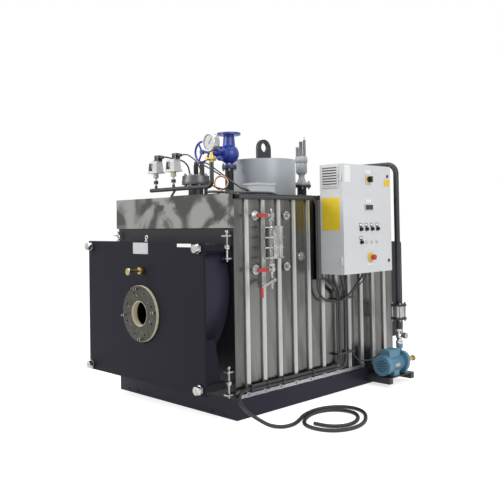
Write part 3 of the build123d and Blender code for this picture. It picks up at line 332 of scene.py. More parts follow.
# %% Dress the frame
FINISH = {
    navy_enamel: ["base_frame", "smoke_box", "rear_smoke_box"],
    door_enamel: ["door_plate"],
    black_enamel: ["casing_front"],
    satin_black: ["lifting_lug", "top_nozzles", "manifold", "pump_console", "check_valve",
                  "feed_riser"],
    tray_coating: ["cable_trays"],
    grey_powder: ["cabinet_body", "cabinet_door"],
    dome_lacquer: ["dome_jacket"],
    box_lacquer: ["junction_box"],
    valve_grey: ["safety_valve_body", "safety_valve_cap"],
    valve_enamel: ["steam_valve", "steam_handwheel"],
    motor_enamel: ["pump_motor", "pump_volute"],
    # The casing sheets' colour carries painted reflections.
    casing_steel_painted_reflections: ["casing_left", "casing_right", "casing_top", "casing_rear"],
    # The front band's colour carries painted reflections.
    band_steel_painted_reflections: ["front_band"],
    brushed_bar: ["pressure_gauge", "feed_valve_knob"],
    plated: ["level_cocks", "level_guard", "clamp_bolts", "pump_fittings"],
    mill_steel: ["burner_flange"],
    forged_steel: ["probe_pot"],
    zinc_plate: ["cabinet_plate"],
    brass_bar: ["gauge_cock", "sight_glass"],
    boiler_plate: ["shell_barrel", "front_tube_plate", "furnace", "smoke_tubes"],
    grey_abs: ["pressure_switches", "door_controls"],
    black_abs: ["level_probes", "isolator_knob"] + ["selector_%d" % i for i in range(1, 6)],
    cable_rubber: ["cables"],
    red_vinyl: ["upper_lever", "lower_lever", "drain_lever"],
    red_abs: ["estop_button"],
    refractory: ["door_lining"],
    clear_glass: ["level_glass"],
}
EDGE_MM = {"casing_left": 0.6, "casing_right": 0.6, "front_band": 1.0, "cabinet_door": 3.0,
           "cabinet_body": 2.0, "door_plate": 2.0, "dome_jacket": 3.0, "steam_valve": 2.0,
           "pump_volute": 3.0, "cables": 0.3}
USUAL_EDGE_MM = 0.8
WELD_MM = 0.02
SHARP = math.radians(50)

for material, names in FINISH.items():
    for name in names:
        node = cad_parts[name]
        node.data.materials.clear()
        node.data.materials.append(material)
        for face in node.data.polygons:
            face.material_index = 0
        weld = node.modifiers.new("weld", "WELD")
        weld.merge_threshold = WELD_MM / 1000
        bevel = node.modifiers.new("edge", "BEVEL")
        bevel.width = EDGE_MM.get(name, USUAL_EDGE_MM) / 1000
        bevel.segments = 2
        bevel.limit_method = "ANGLE"
        bevel.angle_limit = SHARP
print("finished", sum(len(names) for names in FINISH.values()), "nodes of", len(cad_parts))

# %% [markdown]
# Some nodes carry two finishes: bright covers on the ribs of the left panels, bare pins on the
# black front sheet, a paler duct among the cable ways, a copper coil under the brass cock. A
# second material goes to the faces whose middle lies in a given place, and the mesh stays as
# it is.

# %% Second finish of a node
SIPHON = (262, 256)   # across and behind, in millimetres


def second_finish(name, material, chosen):
    """Give a second material to the faces whose middle, in millimetres, passes the test."""
    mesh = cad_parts[name].data
    mesh.materials.append(material)
    count = 0
    for face in mesh.polygons:
        x, y, z = face.center * 1000
        if chosen(x, y + FRONT_MM, z):
            face.material_index = len(mesh.materials) - 1
            count += 1
    print(name, "has", count, "faces in", material.name)


second_finish("casing_left", rib_steel, lambda x, behind, z: x < -653.5)
second_finish("casing_front", zinc_plate, lambda x, behind, z: abs(x) > 590 and behind < -9)
second_finish("cable_trays", duct_coating,
              lambda x, behind, z: x < 692 and 815 < behind < 880 and z < 1440)
second_finish("safety_valve_cap", forged_steel, lambda x, behind, z: z > 1856)
second_finish("gauge_cock", copper_tube,
              lambda x, behind, z: z < 1640 and math.dist((x, behind), SIPHON) < 60)

# %% [markdown]
# ## The hose on the floor
#
# A ribbed polyamide hose leaves a clip at the front end of the low cable way, drops to the
# floor and lies there in two flat turns. A NURBS spline with a few given points gives the way
# it lies. The ribs are real rings along that line: the curve is read back as points, and a tube
# is built round them whose radius rises and falls once a rib.

# %% Route of the hose
HOSE_R = 0.0125
CASING_FRONT = Vector((0, -FRONT_MM / 1000, 0))
hose_drop = [
    (0.683, 0.100, 0.197), (0.683, 0.035, 0.197), (0.708, -0.025, 0.172), (0.742, -0.052, 0.140),
    (0.795, -0.054, 0.104), (0.840, -0.031, 0.072), (0.885, 0.004, 0.038), (0.935, 0.024, 0.019),
    (0.988, 0.066, HOSE_R), (1.006, 0.130, HOSE_R), (0.997, 0.192, HOSE_R),
]
hose_turns = [
    (0.960, 0.275), (0.918, 0.355), (0.893, 0.445), (0.886, 0.540), (0.908, 0.630), (0.960, 0.700),
    (1.040, 0.733), (1.120, 0.715), (1.190, 0.665), (1.250, 0.590), (1.300, 0.505), (1.328, 0.410),
    (1.322, 0.315), (1.285, 0.238), (1.215, 0.190), (1.130, 0.182), (1.055, 0.208), (1.000, 0.268),
    (0.956, 0.347), (0.932, 0.430), (0.932, 0.510), (0.960, 0.585), (1.025, 0.635), (1.105, 0.642),
    (1.175, 0.603), (1.230, 0.532), (1.262, 0.450), (1.262, 0.365), (1.220, 0.300), (1.150, 0.268),
    (1.085, 0.268),
]
hose_points = [Vector(p) + CASING_FRONT for p in hose_drop]
hose_points += [Vector((x, y, HOSE_R)) + CASING_FRONT for x, y in hose_turns]


def route(name, points):
    """The smooth line of a NURBS spline with these control points, as a list of points."""
    curve = bpy.data.curves.new(name + "_route", "CURVE")
    curve.dimensions = "3D"
    curve.resolution_u = 24
    spline = curve.splines.new("NURBS")
    spline.points.add(len(points) - 1)
    for knot, point in zip(spline.points, points):
        knot.co = (*point, 1)
    spline.order_u = 3
    spline.use_endpoint_u = True
    helper = bpy.data.objects.new(name + "_route", curve)
    bpy.context.scene.collection.objects.link(helper)
    line = bpy.data.meshes.new_from_object(helper)
    path = [v.co.copy() for v in line.vertices]
    bpy.data.objects.remove(helper)
    bpy.data.meshes.remove(line)
    return path


def even(path, step):
    """Points a fixed step apart along a path."""
    along = [0.0]
    for a, b in zip(path, path[1:]):
        along.append(along[-1] + (b - a).length)
    count = max(2, round(along[-1] / step))
    stops = np.linspace(0, along[-1], count + 1)
    columns = [np.interp(stops, along, [p[axis] for p in path]) for axis in range(3)]
    return [Vector(p) for p in zip(*columns)], along[-1]


def tube_along(name, path, radii, sides):
    """A closed tube round a path, with its own radius at each point."""
    mesh = bmesh.new()
    rings = []
    across = None
    for i, point in enumerate(path):
        ahead = (path[min(i + 1, len(path) - 1)] - path[max(i - 1, 0)]).normalized()
        if across is None:
            across = ahead.orthogonal().normalized()
        across = (across - ahead * across.dot(ahead)).normalized()
        beside = ahead.cross(across)
        ring = []
        for k in range(sides):
            a = 2 * math.pi * k / sides
            offset = across * math.cos(a) + beside * math.sin(a)
            ring.append(mesh.verts.new(point + offset * radii[i]))
        rings.append(ring)
    for low, high in zip(rings, rings[1:]):
        for k in range(sides):
            mesh.faces.new((low[k], low[(k + 1) % sides], high[(k + 1) % sides], high[k]))
    mesh.faces.new(list(reversed(rings[0])))
    mesh.faces.new(rings[-1])
    data = bpy.data.meshes.new(name)
    mesh.to_mesh(data)
    mesh.free()
    data.shade_smooth()
    piece = bpy.data.objects.new(name, data)
    bpy.context.scene.collection.objects.link(piece)
    return piece


# %% Build the hose
HOSE_RIB = 0.006
RIB_SHAPE = (0.90, 0.955, 1.0, 0.955)   # shares of the radius along one rib
hose_line, hose_length = even(route("hose", hose_points), HOSE_RIB / len(RIB_SHAPE))
hose_radii = [HOSE_R * RIB_SHAPE[i % len(RIB_SHAPE)] for i in range(len(hose_line))]
hose = tube_along("hose", hose_line, hose_radii, sides=12)
hose.data.materials.append(hose_nylon)
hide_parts("floor_hose", "hose_coil")
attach(hose, "boiler")
print("hose is", round(hose_length, 2), "m long with", len(hose_line) // len(RIB_SHAPE), "ribs")

# %% [markdown]
# ## Tools of the bench
#
# New pieces are modelled as by hand: a primitive is set at its size and place, faces are
# picked by where they look, and edit mode tools inset, push and bevel them. Places are given
# in millimetres: across, behind the front of the casing, and up. A finished piece keeps its
# place in its mesh, and says which body it rides on.

# %% Bench
def mm(x, behind, z):
    """A place in metres."""
    return Vector((x, behind - FRONT_MM, z)) / 1000


TURN = {"z": (0, 0, 0), "y": (math.pi / 2, 0, 0), "x": (0, math.pi / 2, 0)}
OUT = {"z": Vector((0, 0, 1)), "y": Vector((0, -1, 0)), "x": Vector((1, 0, 0))}


def alone(piece):
    """Select one piece and nothing else."""
    bpy.ops.object.select_all(action="DESELECT")
    piece.select_set(True)
    bpy.context.view_layer.objects.active = piece


def block(name, low, high):
    """A cube primitive stretched between two corners."""
    bpy.ops.object.select_all(action="DESELECT")
    bpy.ops.mesh.primitive_cube_add(size=1, location=(low + high) / 2)
    piece = bpy.context.object
    piece.name = name
    piece.scale = high - low
    bpy.ops.object.transform_apply(location=True, rotation=True, scale=True)
    return piece


def rod(name, foot, radius, length, axis="z", sides=24):
    """A cylinder primitive from its foot along +Z, -Y or +X, in millimetres."""
    bpy.ops.object.select_all(action="DESELECT")
    middle = foot + OUT[axis] * length / 2000
    bpy.ops.mesh.primitive_cylinder_add(vertices=sides, radius=radius / 1000, depth=length / 1000,
                                        location=middle, rotation=TURN[axis])
    piece = bpy.context.object
    piece.name = name
    bpy.ops.object.transform_apply(location=True, rotation=True, scale=True)
    return piece


def pick(piece, looks, kind="FACE"):
    """Go to edit mode with the faces or edges selected that the test accepts."""
    alone(piece)
    bpy.ops.object.mode_set(mode="EDIT")
    bpy.ops.mesh.select_mode(type=kind)
    bpy.ops.mesh.select_all(action="DESELECT")
    mesh = bmesh.from_edit_mesh(piece.data)
    for part in (mesh.faces if kind == "FACE" else mesh.edges):
        part.select_set(looks(part))
    bmesh.update_edit_mesh(piece.data)


def facing(axis, sign=1):
    """A test for faces that look along an axis."""
    return lambda face: face.normal.dot(OUT[axis]) * sign > 0.95


def push(millimetres, axis):
    """Extrude what is selected."""
    shift = OUT[axis] * millimetres / 1000
    bpy.ops.mesh.extrude_region_move(TRANSFORM_OT_translate={"value": shift})


def draw_out(piece, axis, *steps, sign=1):
    """Inset an end face and push it along the axis, for each border and depth in millimetres."""
    pick(piece, facing(axis, sign))
    for border, depth in steps:
        bpy.ops.mesh.inset(thickness=border / 1000)
        push(depth, axis)
    bpy.ops.object.mode_set(mode="OBJECT")
    return piece


SOFT_OVER = math.radians(40)
SMOOTH_UNDER = math.radians(38)


def soften(piece, millimetres, segments=2):
    """Bevel the edges that are sharper than an angle."""
    def is_sharp(edge):
        return len(edge.link_faces) == 2 and edge.calc_face_angle(0) > SOFT_OVER

    pick(piece, is_sharp, "EDGE")
    bpy.ops.mesh.bevel(offset=millimetres / 1000, segments=segments, affect="EDGES")
    bpy.ops.object.mode_set(mode="OBJECT")
    return piece


def copies(piece, shifts):
    """The piece and its copies, each with its own mesh, at these shifts in millimetres."""
    made = []
    for number, shift in enumerate(shifts, 1):
        twin = piece.copy()
        twin.data = piece.data.copy()
        twin.name = "%s_%d" % (piece.name, number)
        twin.data.transform(Matrix.Translation(Vector(shift) / 1000))
        bpy.context.scene.collection.objects.link(twin)
        made.append(twin)
    bpy.data.objects.remove(piece)
    return made


def wear(pieces, material, body="boiler"):
    """Give pieces their material, smooth their curves and let them ride on a body."""
    for piece in pieces:
        piece.data.materials.clear()
        piece.data.materials.append(material)
        alone(piece)
        bpy.ops.object.shade_smooth_by_angle(angle=SMOOTH_UNDER)
        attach(piece, body)


# %% [markdown]
# ## Cover profiles on the ribs
#
# The casing panels meet in upright ribs, and a bright brushed profile is clipped over each.
# It starts as a block over the rib. Its outer face is inset and pressed back a little, so that
# the profile keeps two raised lips that catch the light. One profile is made and copied. The
# left side needs no block, because there the faces of the ribs already wear the bright finish.

# %% Rib covers
RIB_PITCH = 157
FIRST_RIB = 108      # behind the front of the casing
COVER_HALF = 18.4
RIBS = [(0, RIB_PITCH * i, 0) for i in range(11)]
profile = block("rib_cover", mm(653.2, FIRST_RIB - COVER_HALF, 137),
                mm(666.8, FIRST_RIB + COVER_HALF, 1444))
soften(draw_out(profile, "x", (5, -0.9)), 0.7)
right_covers = copies(profile, RIBS)
wear(right_covers, rib_steel)
print("rib covers", len(right_covers))

# %% [markdown]
# ## Hexagon nuts
#
# A nut is a six-sided cylinder. Its end face is inset and drawn out a little, which gives the
# chamfer, and inset again and pushed out as the end of the stud. Because every flange needs
# nuts that look along its own axis, one function models the nut, and its copies go round the
# circle of holes. A cup-headed bolt is made the same way from a round cylinder: its end is
# inset and drawn out twice, into a dome.

# %% Nuts
def nut(name, foot, across, axis, height=None, stud=0.35, sign=1):
    """Hexagon nut with the end of its stud, standing on its foot."""
    height = height or 0.8 * across
    start = foot if sign > 0 else foot - OUT[axis] * height / 1000
    piece = rod(name, start, across / math.sqrt(3), height, axis, sides=6)
    chamfer = (0.09 * across, 0.06 * across * sign)
    end = (0.17 * across, stud * across * sign)
    return draw_out(piece, axis, chamfer, end, sign=sign)


def round_head(name, foot, radius, axis):
    """A cup-headed bolt."""
    piece = rod(name, foot, radius, 0.45 * radius, axis, 16)
    dome = [(share * radius, 0.16 * radius) for share in (0.22, 0.3)]
    return draw_out(piece, axis, *dome)


def ring_shifts(radius, count, axis, start=0.0):
    """Shifts round a circle that is square to an axis."""
    shifts = []
    for i in range(count):
        a = start + 2 * math.pi * i / count
        u, v = radius * math.cos(a), radius * math.sin(a)
        shifts.append({"z": (u, v, 0), "y": (u, 0, v), "x": (0, u, v)}[axis])
    return shifts


PUMP_X, PUMP_Z = 816, 162   # axis of the feed pump
CHECK = (816, 1655)         # upright axis of its check valve, across and behind
STOP = (0, 585)             # of the steam stop valve
SAFETY = (0, 1444)          # of the safety valve
POT = (0, 240)              # of the probe pot
EIGHTH, SIXTEENTH = 0.79, 0.39   # an eighth and a sixteenth of a turn, in radians
made = 0
for name, centre, across, axis, sign, radius, count, start, material in (
    ("collar_nut", mm(*STOP, 1738), 15, "z", 1, 46, 4, EIGHTH, zinc_plate),
    ("collar_low_nut", mm(*STOP, 1710), 15, "z", -1, 46, 4, EIGHTH, zinc_plate),
    ("bonnet_nut", mm(0, 490, 1826), 13, "y", 1, 45, 6, 0.3, valve_enamel),
    ("safety_nut", mm(*SAFETY, 1627), 15, "z", 1, 61, 4, EIGHTH, zinc_plate),
    ("safety_low_nut", mm(*SAFETY, 1587), 15, "z", -1, 61, 4, EIGHTH, zinc_plate),
    ("pot_nut", mm(*POT, 1641), 17, "z", 1, 84, 8, SIXTEENTH, zinc_plate),
    ("pot_low_nut", mm(*POT, 1577), 17, "z", -1, 84, 8, SIXTEENTH, zinc_plate),
    ("check_nut", mm(*CHECK, 619), 14, "z", 1, 50, 4, EIGHTH, zinc_plate),
    ("check_low_nut", mm(*CHECK, 498), 14, "z", -1, 50, 4, EIGHTH, zinc_plate),
    ("volute_nut", mm(PUMP_X, 1638, PUMP_Z), 9, "y", 1, 72, 6, 0.52, motor_enamel),
):
    first = nut(name, centre, across, axis, sign=sign)
    nuts = copies(first, ring_shifts(radius, count, axis, start))
    wear(nuts, material)
    made += len(nuts)
print("nuts on flanges", made)

# %% [markdown]
# ## Burner ring
#
# The ring on the door was cut from plate, and its face is still dark from the mill. A cream
# ring round its rim and a cream sleeve in its mouth are painted highlights: they stand for the
# bright outer edge and the bright bore that light makes there. Both are open cylinders with a
# little wall. Four short bolts hold the ring to the door, and the holes between them take the
# studs of the burner.

# %% Gaskets and ring bolts
def band_round(name, foot, radius, length, axis, wall, sides=64):
    """An open cylinder with a wall that grows inwards."""
    piece = rod(name, foot, radius, length, axis, sides)
    pick(piece, lambda face: abs(face.normal.dot(OUT[axis])) > 0.95)
    bpy.ops.mesh.delete(type="FACE")
    bpy.ops.object.mode_set(mode="OBJECT")
    alone(piece)
    shell = piece.modifiers.new("wall", "SOLIDIFY")
    shell.thickness = wall / 1000
    shell.offset = -1
    bpy.ops.object.modifier_apply(modifier="wall")
    return piece


def at_burner(behind):
    """A place on the axis of the burner."""
    return mm(5, behind, 672)


DOOR_FACE, RING_FACE = -272, -294
# A cream ring on the rim and a cream sleeve in the mouth: painted highlights on the edges of the
# burner ring.
rim = soften(band_round("burner_rim_painted_highlight", at_burner(-272.2), 194, 20, "y", 2.4), 0.8, 1)
bore = soften(band_round("burner_mouth_painted_highlight", at_burner(-250), 87.9, 43.6, "y", 3.5), 0.8, 1)
wear([rim, bore], burner_edge_highlight, "front_door")
ring_bolt = nut("ring_bolt", at_burner(RING_FACE), 17, "y", stud=0.9)
ring_bolts = copies(ring_bolt, ring_shifts(172, 4, "y", 0.12))
wear(ring_bolts, plated, "front_door")
dowel = round_head("ring_dowel", at_burner(RING_FACE), 4.5, "y")
wear(copies(dowel, ring_shifts(126, 6, "y", 0.7)), zinc_plate, "front_door")
print("burner ring with", len(ring_bolts), "bolts")

# %% [markdown]
# ## Fittings of the door
#
# A hexagon nut sits under each corner cap. The sight tube ends in a plated ring that holds its
# glass. Two lifting eyes stand on the upper edge. A silver plate is riveted to the face, and
# a narrow white one is glued beside it.

# %% Corner nuts, sight ring and eyes
corner = draw_out(rod("corner_nut", mm(0, DOOR_FACE, 0), 33, 15, "y", 6), "y", (3, 2))
corners = [(x, 0, z) for x in (-620.5, 620.5) for z in (245, 1128)]
wear(copies(corner, corners), plated, "front_door")

sight_ring = rod("sight_ring", mm(26, -386.8, 969), 24, 15, "y", 32)
soften(draw_out(sight_ring, "y", (7, -4)), 1.0)
sight_pane = soften(rod("sight_pane", mm(26, -398.4, 969), 16.8, 0.9, "y", 32), 0.3, 1)
wear([sight_ring], plated, "front_door")
wear([sight_pane], dark_window, "front_door")


def eye_bolt(name, foot, ring_radius, wire):
    """A lifting eye: a collar, a short neck and a ring, joined."""
    collar = draw_out(rod(name, foot, 1.6 * wire, wire, "z", 20), "z", (0.6 * wire, wire))
    bpy.ops.object.select_all(action="DESELECT")
    bpy.ops.mesh.primitive_torus_add(location=foot + OUT["z"] * (2 * wire + ring_radius) / 1000,
                                     rotation=TURN["y"], major_segments=28, minor_segments=10,
                                     major_radius=ring_radius / 1000, minor_radius=wire / 2000)
    ring = bpy.context.object
    bpy.ops.object.transform_apply(location=True, rotation=True, scale=True)
    ring.select_set(True)
    collar.select_set(True)
    bpy.context.view_layer.objects.active = collar
    bpy.ops.object.join()
    return collar


eye = eye_bolt("lifting_eye", mm(0, -264, 1169), ring_radius=12, wire=8)
eyes = copies(eye, [(-276, 0, 0), (60, 0, 0)])
wear(eyes, plated, "front_door")
print("corner nuts", len(corners), "and", len(eyes), "eyes")

# %% Plates on the door
def plate(name, low, high, material, body):
    """A thin plate with soft corners."""
    wear([soften(block(name, low, high), 0.5, 1)], material, body)


plate("name_plate", mm(-88, DOOR_FACE - 1.2, 1083), mm(86, DOOR_FACE, 1161),
      silver_foil, "front_door")
rivets = [round_head("name_plate_rivet", mm(x, DOOR_FACE - 1.2, z), 2.4, "y")
          for x in (-82, 80) for z in (1089, 1155)]
wear(rivets, plated, "front_door")
plate("narrow_plate", mm(402, DOOR_FACE - 0.8, 1136), mm(545, DOOR_FACE, 1158),
      white_foil, "front_door")
print("two plates on the door")

# %% [markdown]
# ## Strip below the casing
#
# A zinc plated strip runs along the foot of the right side and ties the panels to the skirt.
# It is a flat bar with one round-headed bolt at every rib. A smaller bolt above it holds the
# end of each cover profile.

# %% Foot strip
strip = soften(block("foot_strip", mm(666.9, 6, 139), mm(669.4, 1395, 163)), 0.6, 1)
wear([strip], zinc_plate)
strip_bolts = copies(round_head("strip_bolt", mm(669.4, FIRST_RIB, 151), 7.5, "x"), RIBS[:9])
wear(strip_bolts, zinc_plate)
panel_bolts = copies(round_head("panel_bolt", mm(666.2, FIRST_RIB, 172), 6, "x"), RIBS)
wear(panel_bolts, zinc_plate)
print("strip bolts", len(strip_bolts))

# %% [markdown]
# ## Perforations of the cable tray
#
# The tray's edge is punched with a row of slots, through which the casing shows. At this size
# a hole reads as a paler slot in a dark edge, so each is an oval plate let into the edge: a
# round primitive, flattened and drawn out along the tray, and copied.

# %% Tray slots
SLOT_AT = mm(704.6, 26, 1462)
SLOT_PITCH = 27
slot = rod("tray_slot", SLOT_AT, 4.5, 0.7, "x", 14)
alone(slot)
bpy.ops.object.mode_set(mode="EDIT")
bpy.ops.mesh.select_all(action="SELECT")
bpy.ops.transform.resize(value=(1, 1.9, 1), center_override=SLOT_AT)
bpy.ops.object.mode_set(mode="OBJECT")
slots = copies(slot, [(0, SLOT_PITCH * i, 0) for i in range(27)])
wear(slots, duct_coating)
print("tray slots", len(slots))

# %% [markdown]
# ## Pressure switches
#
# Each switch is a pale housing with a smoked window over its scale, a black plug on top and a
# brass nut below. The window leans back with the housing's draft: its upper edge is pulled
# rearwards after it is placed. A black rubber ball under the brass nut is the snubber.

# %% Windows, plugs and nuts of the switches
MANIFOLD = 92   # the manifold lies this far behind the front of the casing
for number, x in enumerate((-292, -80), 1):
    tag = "switch_%d" % number
    window = block(tag + "_window", mm(x - 44, 55.2, 1692), mm(x - 2, 60, 1748))
    pick(window, facing("z"))
    bpy.ops.transform.translate(value=(0, 0.0048, 0))
    bpy.ops.object.mode_set(mode="OBJECT")
    wear([soften(window, 1.2)], dark_window)
    for row in range(3):
        lean, rise = row * 1.5, row * 18
        rib = block(tag + "_rib", mm(x + 8, 55.4 + lean, 1696 + rise),
                    mm(x + 42, 60 + lean, 1708 + rise))
        wear([soften(rib, 1.5)], grey_abs)
    plug = soften(block(tag + "_plug", mm(x + 9, 69, 1763), mm(x + 55, 115, 1809)), 5, 3)
    stem = soften(rod(tag + "_plug_stem", mm(x + 54, MANIFOLD, 1790), 12, 18, "x", 20), 1.2)
    gland = soften(rod(tag + "_gland", mm(x + 72, MANIFOLD, 1790), 14, 15, "x", 6), 1.5)
    tail = soften(rod(tag + "_tail", mm(x + 87, MANIFOLD, 1790), 11.4, 7.2, "x", 16), 1.5)
    wear([plug, stem, gland, tail], black_abs)
    wear([nut(tag + "_brass_nut", mm(x, MANIFOLD, 1637), 38, "z", height=26, stud=0)], brass_bar)
    wear([soften(rod(tag + "_snubber", mm(x, MANIFOLD, 1591), 17.5, 28), 6, 3)], black_abs)
wear([soften(rod("switch_red_cap", mm(-312, MANIFOLD, 1764), 9, 10, "z", 20), 2)], red_abs)
print("two switches dressed")

# %% [markdown]
# ## Pressure gauge
#
# Behind the glass lies a white card with a ring of marks and one pointer. The marks are small
# bars turned round the centre. The pointer is a cube primitive that reaches a little past the
# centre as its tail, and its far face is pushed out and scaled down to a tip.

# %% Dial, marks, pointer and glass
GAUGE = mm(345, 76, 1850)
DIAL = GAUGE + OUT["y"] * 0.0008
MARK_END = 0.053         # radius at which every mark ends
MARK_STEP = 13.5         # degrees
wear([soften(rod("gauge_card", GAUGE, 56.6, 0.8, "y", 64), 0.2, 1)], dial_card)
marks = []
for i in range(21):
    a = math.radians(225 - MARK_STEP * i)
    long, half = (0.008, 0.0009) if i % 5 == 0 else (0.004, 0.0005)
    mark = block("gauge_mark", Vector((-half, -0.0004, MARK_END - long)),
                 Vector((half, 0, MARK_END)))
    soften(mark, 0.15, 1)
    mark.data.transform(Matrix.Translation(DIAL) @ Matrix.Rotation(math.pi / 2 - a, 4, "Y"))
    marks.append(mark)
wear(marks, black_abs)
pointer = block("gauge_pointer", Vector((-0.0026, -0.0012, -0.016)), Vector((0.0026, 0, 0.03)))
pick(pointer, facing("z"))
push(12, "z")
bpy.ops.transform.resize(value=(0.3, 1, 1), center_override=(0, -0.0006, 0.042))
bpy.ops.object.mode_set(mode="OBJECT")
turned = Matrix.Rotation(math.radians(38), 4, "Y")
pointer.data.transform(Matrix.Translation(GAUGE + OUT["y"] * 0.0022) @ turned)
soften(pointer, 0.3, 1)
hub = soften(rod("gauge_hub", DIAL, 6, 4, "y", 20), 1.0)
wear([pointer, hub], black_abs)
pane = soften(rod("gauge_pane", GAUGE + OUT["y"] * 0.006, 56.8, 1.2, "y", 64), 0.4, 1)
wear([pane], thin_pane)
bezel = band_round("gauge_bezel", GAUGE + OUT["y"] * 0.005, 63.4, 5.5, "y", 6.5)
wear([soften(bezel, 1.4)], brushed_bar)
wear([nut("siphon_nut", mm(*SIPHON, 1500), 26, "z", height=15, stud=0)], brass_bar)
print("gauge with", len(marks), "marks")

# %% [markdown]
# ## Cabinet: vent, plates and locks
#
# The side of the cabinet that looks to the front has a vent: a moulded frame with slats that
# lean down and out, over a dark filter. One slat is a bar whose outer edge is pulled down, and
# its copies fill the frame. Under the vent sits a yellow plate, and the door has a white label
# over each control, a yellow tag and two small locks.

# %% Vent
VENT_LEFT, VENT_RIGHT = 720, 850   # inner width of the frame
FRAME_WIDTH = 13
vent = block("vent_frame", mm(VENT_LEFT - FRAME_WIDTH, 839, 1528),
             mm(VENT_RIGHT + FRAME_WIDTH, 848, 1690))
wear([soften(draw_out(vent, "y", (12, -7)), 1.5)], grey_abs)
vent_filter = block("vent_filter", mm(VENT_LEFT, 845, 1541), mm(VENT_RIGHT, 845.9, 1677))
wear([soften(vent_filter, 0.3, 1)], black_abs)
slat = block("vent_slat", mm(VENT_LEFT, 838.5, 1548), mm(VENT_RIGHT, 845.5, 1555))
pick(slat, facing("y"))
bpy.ops.transform.translate(value=(0, 0, -0.006))
bpy.ops.object.mode_set(mode="OBJECT")
slats = copies(soften(slat, 0.7, 1), [(0, 0, 19.5 * i) for i in range(7)])
wear(slats, grey_abs)
print("vent with", len(slats), "slats")

# %% Plates, rings and locks of the cabinet
DOOR_X = 900   # outer face of the cabinet's door


def at_door(place, out=0.0):
    """A place on the cabinet's door, as how far behind and how high, and how far out of it."""
    return mm(DOOR_X + out, *place)


def door_foil(name, material, thick, low, high):
    """A plate on the cabinet's door between two corners."""
    plate(name, at_door(low), at_door(high, thick), material, "cabinet_door")


# Middles of the five selectors, and what shifts a piece from the first to each of them.
SELECTORS = [(1052, 1228), (1121, 1228), (1190, 1228), (1259, 1228), (1055, 1132)]
first_behind, first_z = SELECTORS[0]
beside = [(0, behind - first_behind, z - first_z) for behind, z in SELECTORS]

plate("side_plate", mm(707, 847.2, 1222), mm(870, 848, 1460), yellow_foil, "boiler")
door_foil("door_label", white_foil, 0.8, (868, 1570), (938, 1692))
door_foil("isolator_plate", silver_foil, 3, (1121, 1556), (1195, 1626))
door_foil("isolator_label", white_foil, 0.9, (1124, 1640), (1190, 1664))
door_foil("display_label", white_foil, 0.9, (1125, 1424), (1190, 1446))
holder = block("label_holder", at_door((1033, 1244)), at_door((1071, 1272), 0.8))
label = block("selector_label", at_door((1038, 1252), 0.7), at_door((1066, 1268), 1.3))
wear(copies(soften(holder, 0.4, 1), beside), black_abs, "cabinet_door")
wear(copies(soften(label, 0.3, 1), beside), white_foil, "cabinet_door")
door_foil("estop_label", white_foil, 0.9, (1126, 958), (1206, 974))
surround = rod("isolator_ring", at_door((1158, 1596), 4), 30, 2.2, "x", 36)
wear([soften(surround, 0.8)], yellow_abs, "cabinet_door")
knob_bar = block("isolator_bar", at_door((1150, 1574), 18.4), at_door((1166, 1618), 38.8))
wear([soften(knob_bar, 2)], black_abs, "isolator_knob")
tag_plate = block("yellow_tag", at_door((1360, 1550)), at_door((1434, 1600), 1.4))
pick(tag_plate, lambda edge: abs((edge.verts[0].co - edge.verts[1].co).x) > 0.001, "EDGE")
bpy.ops.mesh.bevel(offset=0.009, segments=4, affect="EDGES")
bpy.ops.object.mode_set(mode="OBJECT")
wear([tag_plate], yellow_abs, "cabinet_door")
for number, z in enumerate((1626, 983), 1):
    lock = draw_out(rod("door_lock_%d" % number, at_door((1404, z)), 12, 5, "x"), "x", (4, -2))
    wear([soften(lock, 0.8)], black_abs, "cabinet_door")
display = block("display_window", at_door((1109, 1370), 8), at_door((1201, 1406), 9.2))
wear([soften(display, 0.5, 1)], dark_window, "cabinet_door")
estop_ring = band_round("estop_ring", at_door((1166, 1018), 4), 36.6, 5, "x", 21, 40)
wear([soften(estop_ring, 1.2)], yellow_abs, "cabinet_door")
for number, place in enumerate(SELECTORS, 1):
    bezel = band_round("selector_bezel_%d" % number, at_door(place, 1), 16, 4.5, "x", 3, 28)
    wear([soften(bezel, 0.6, 1)], black_abs, "cabinet_door")
blue_cap = block("selector_blue_cap", at_door((1186.5, 1217), 24.4), at_door((1193.5, 1239), 25.4))
wear([soften(blue_cap, 0.4, 1)], blue_abs, "selector_3")
seal = block("door_seal", mm(877.8, 849.5, 904.5), mm(879.2, 1446.5, 1701.5))
pick(seal, facing("x"))
bpy.ops.mesh.inset(thickness=0.012)
bpy.ops.mesh.delete(type="FACE")
bpy.ops.object.mode_set(mode="OBJECT")
wear([seal], cable_rubber)
print("cabinet dressed")

# %% [markdown]
# ## Terminals inside the cabinet
#
# The mounting plate carries rows of breakers. Each row in the construction model is one block,
# so thin plates on its front show the single devices, each with a dark toggle.

# %% Breakers
steps = [(0, 18.2 * i, 0) for i in range(24)]
for z, height in ((1073, 70), (1303, 80), (1533, 50)):
    device = block("breaker", mm(767.2, 931, z - height / 2), mm(769.4, 947, z + height / 2))
    draw_out(device, "x", (2.5, 1.2))
    toggle = soften(block("toggle", mm(770.4, 935, z - 6), mm(776, 943, z + 6)), 1.0, 1)
    wear(copies(device, steps), grey_abs)
    wear(copies(toggle, steps), black_abs)
print("three rows of devices")

# %% [markdown]
# ## Water level gauge
#
# The cocks have plated cap nuts over their red levers, and the drain lever's arm is bare bar
# with a red sleeve only on its grip. Hexagons are set where a spanner would hold the fittings,
# and small cross bolts clamp the guard.

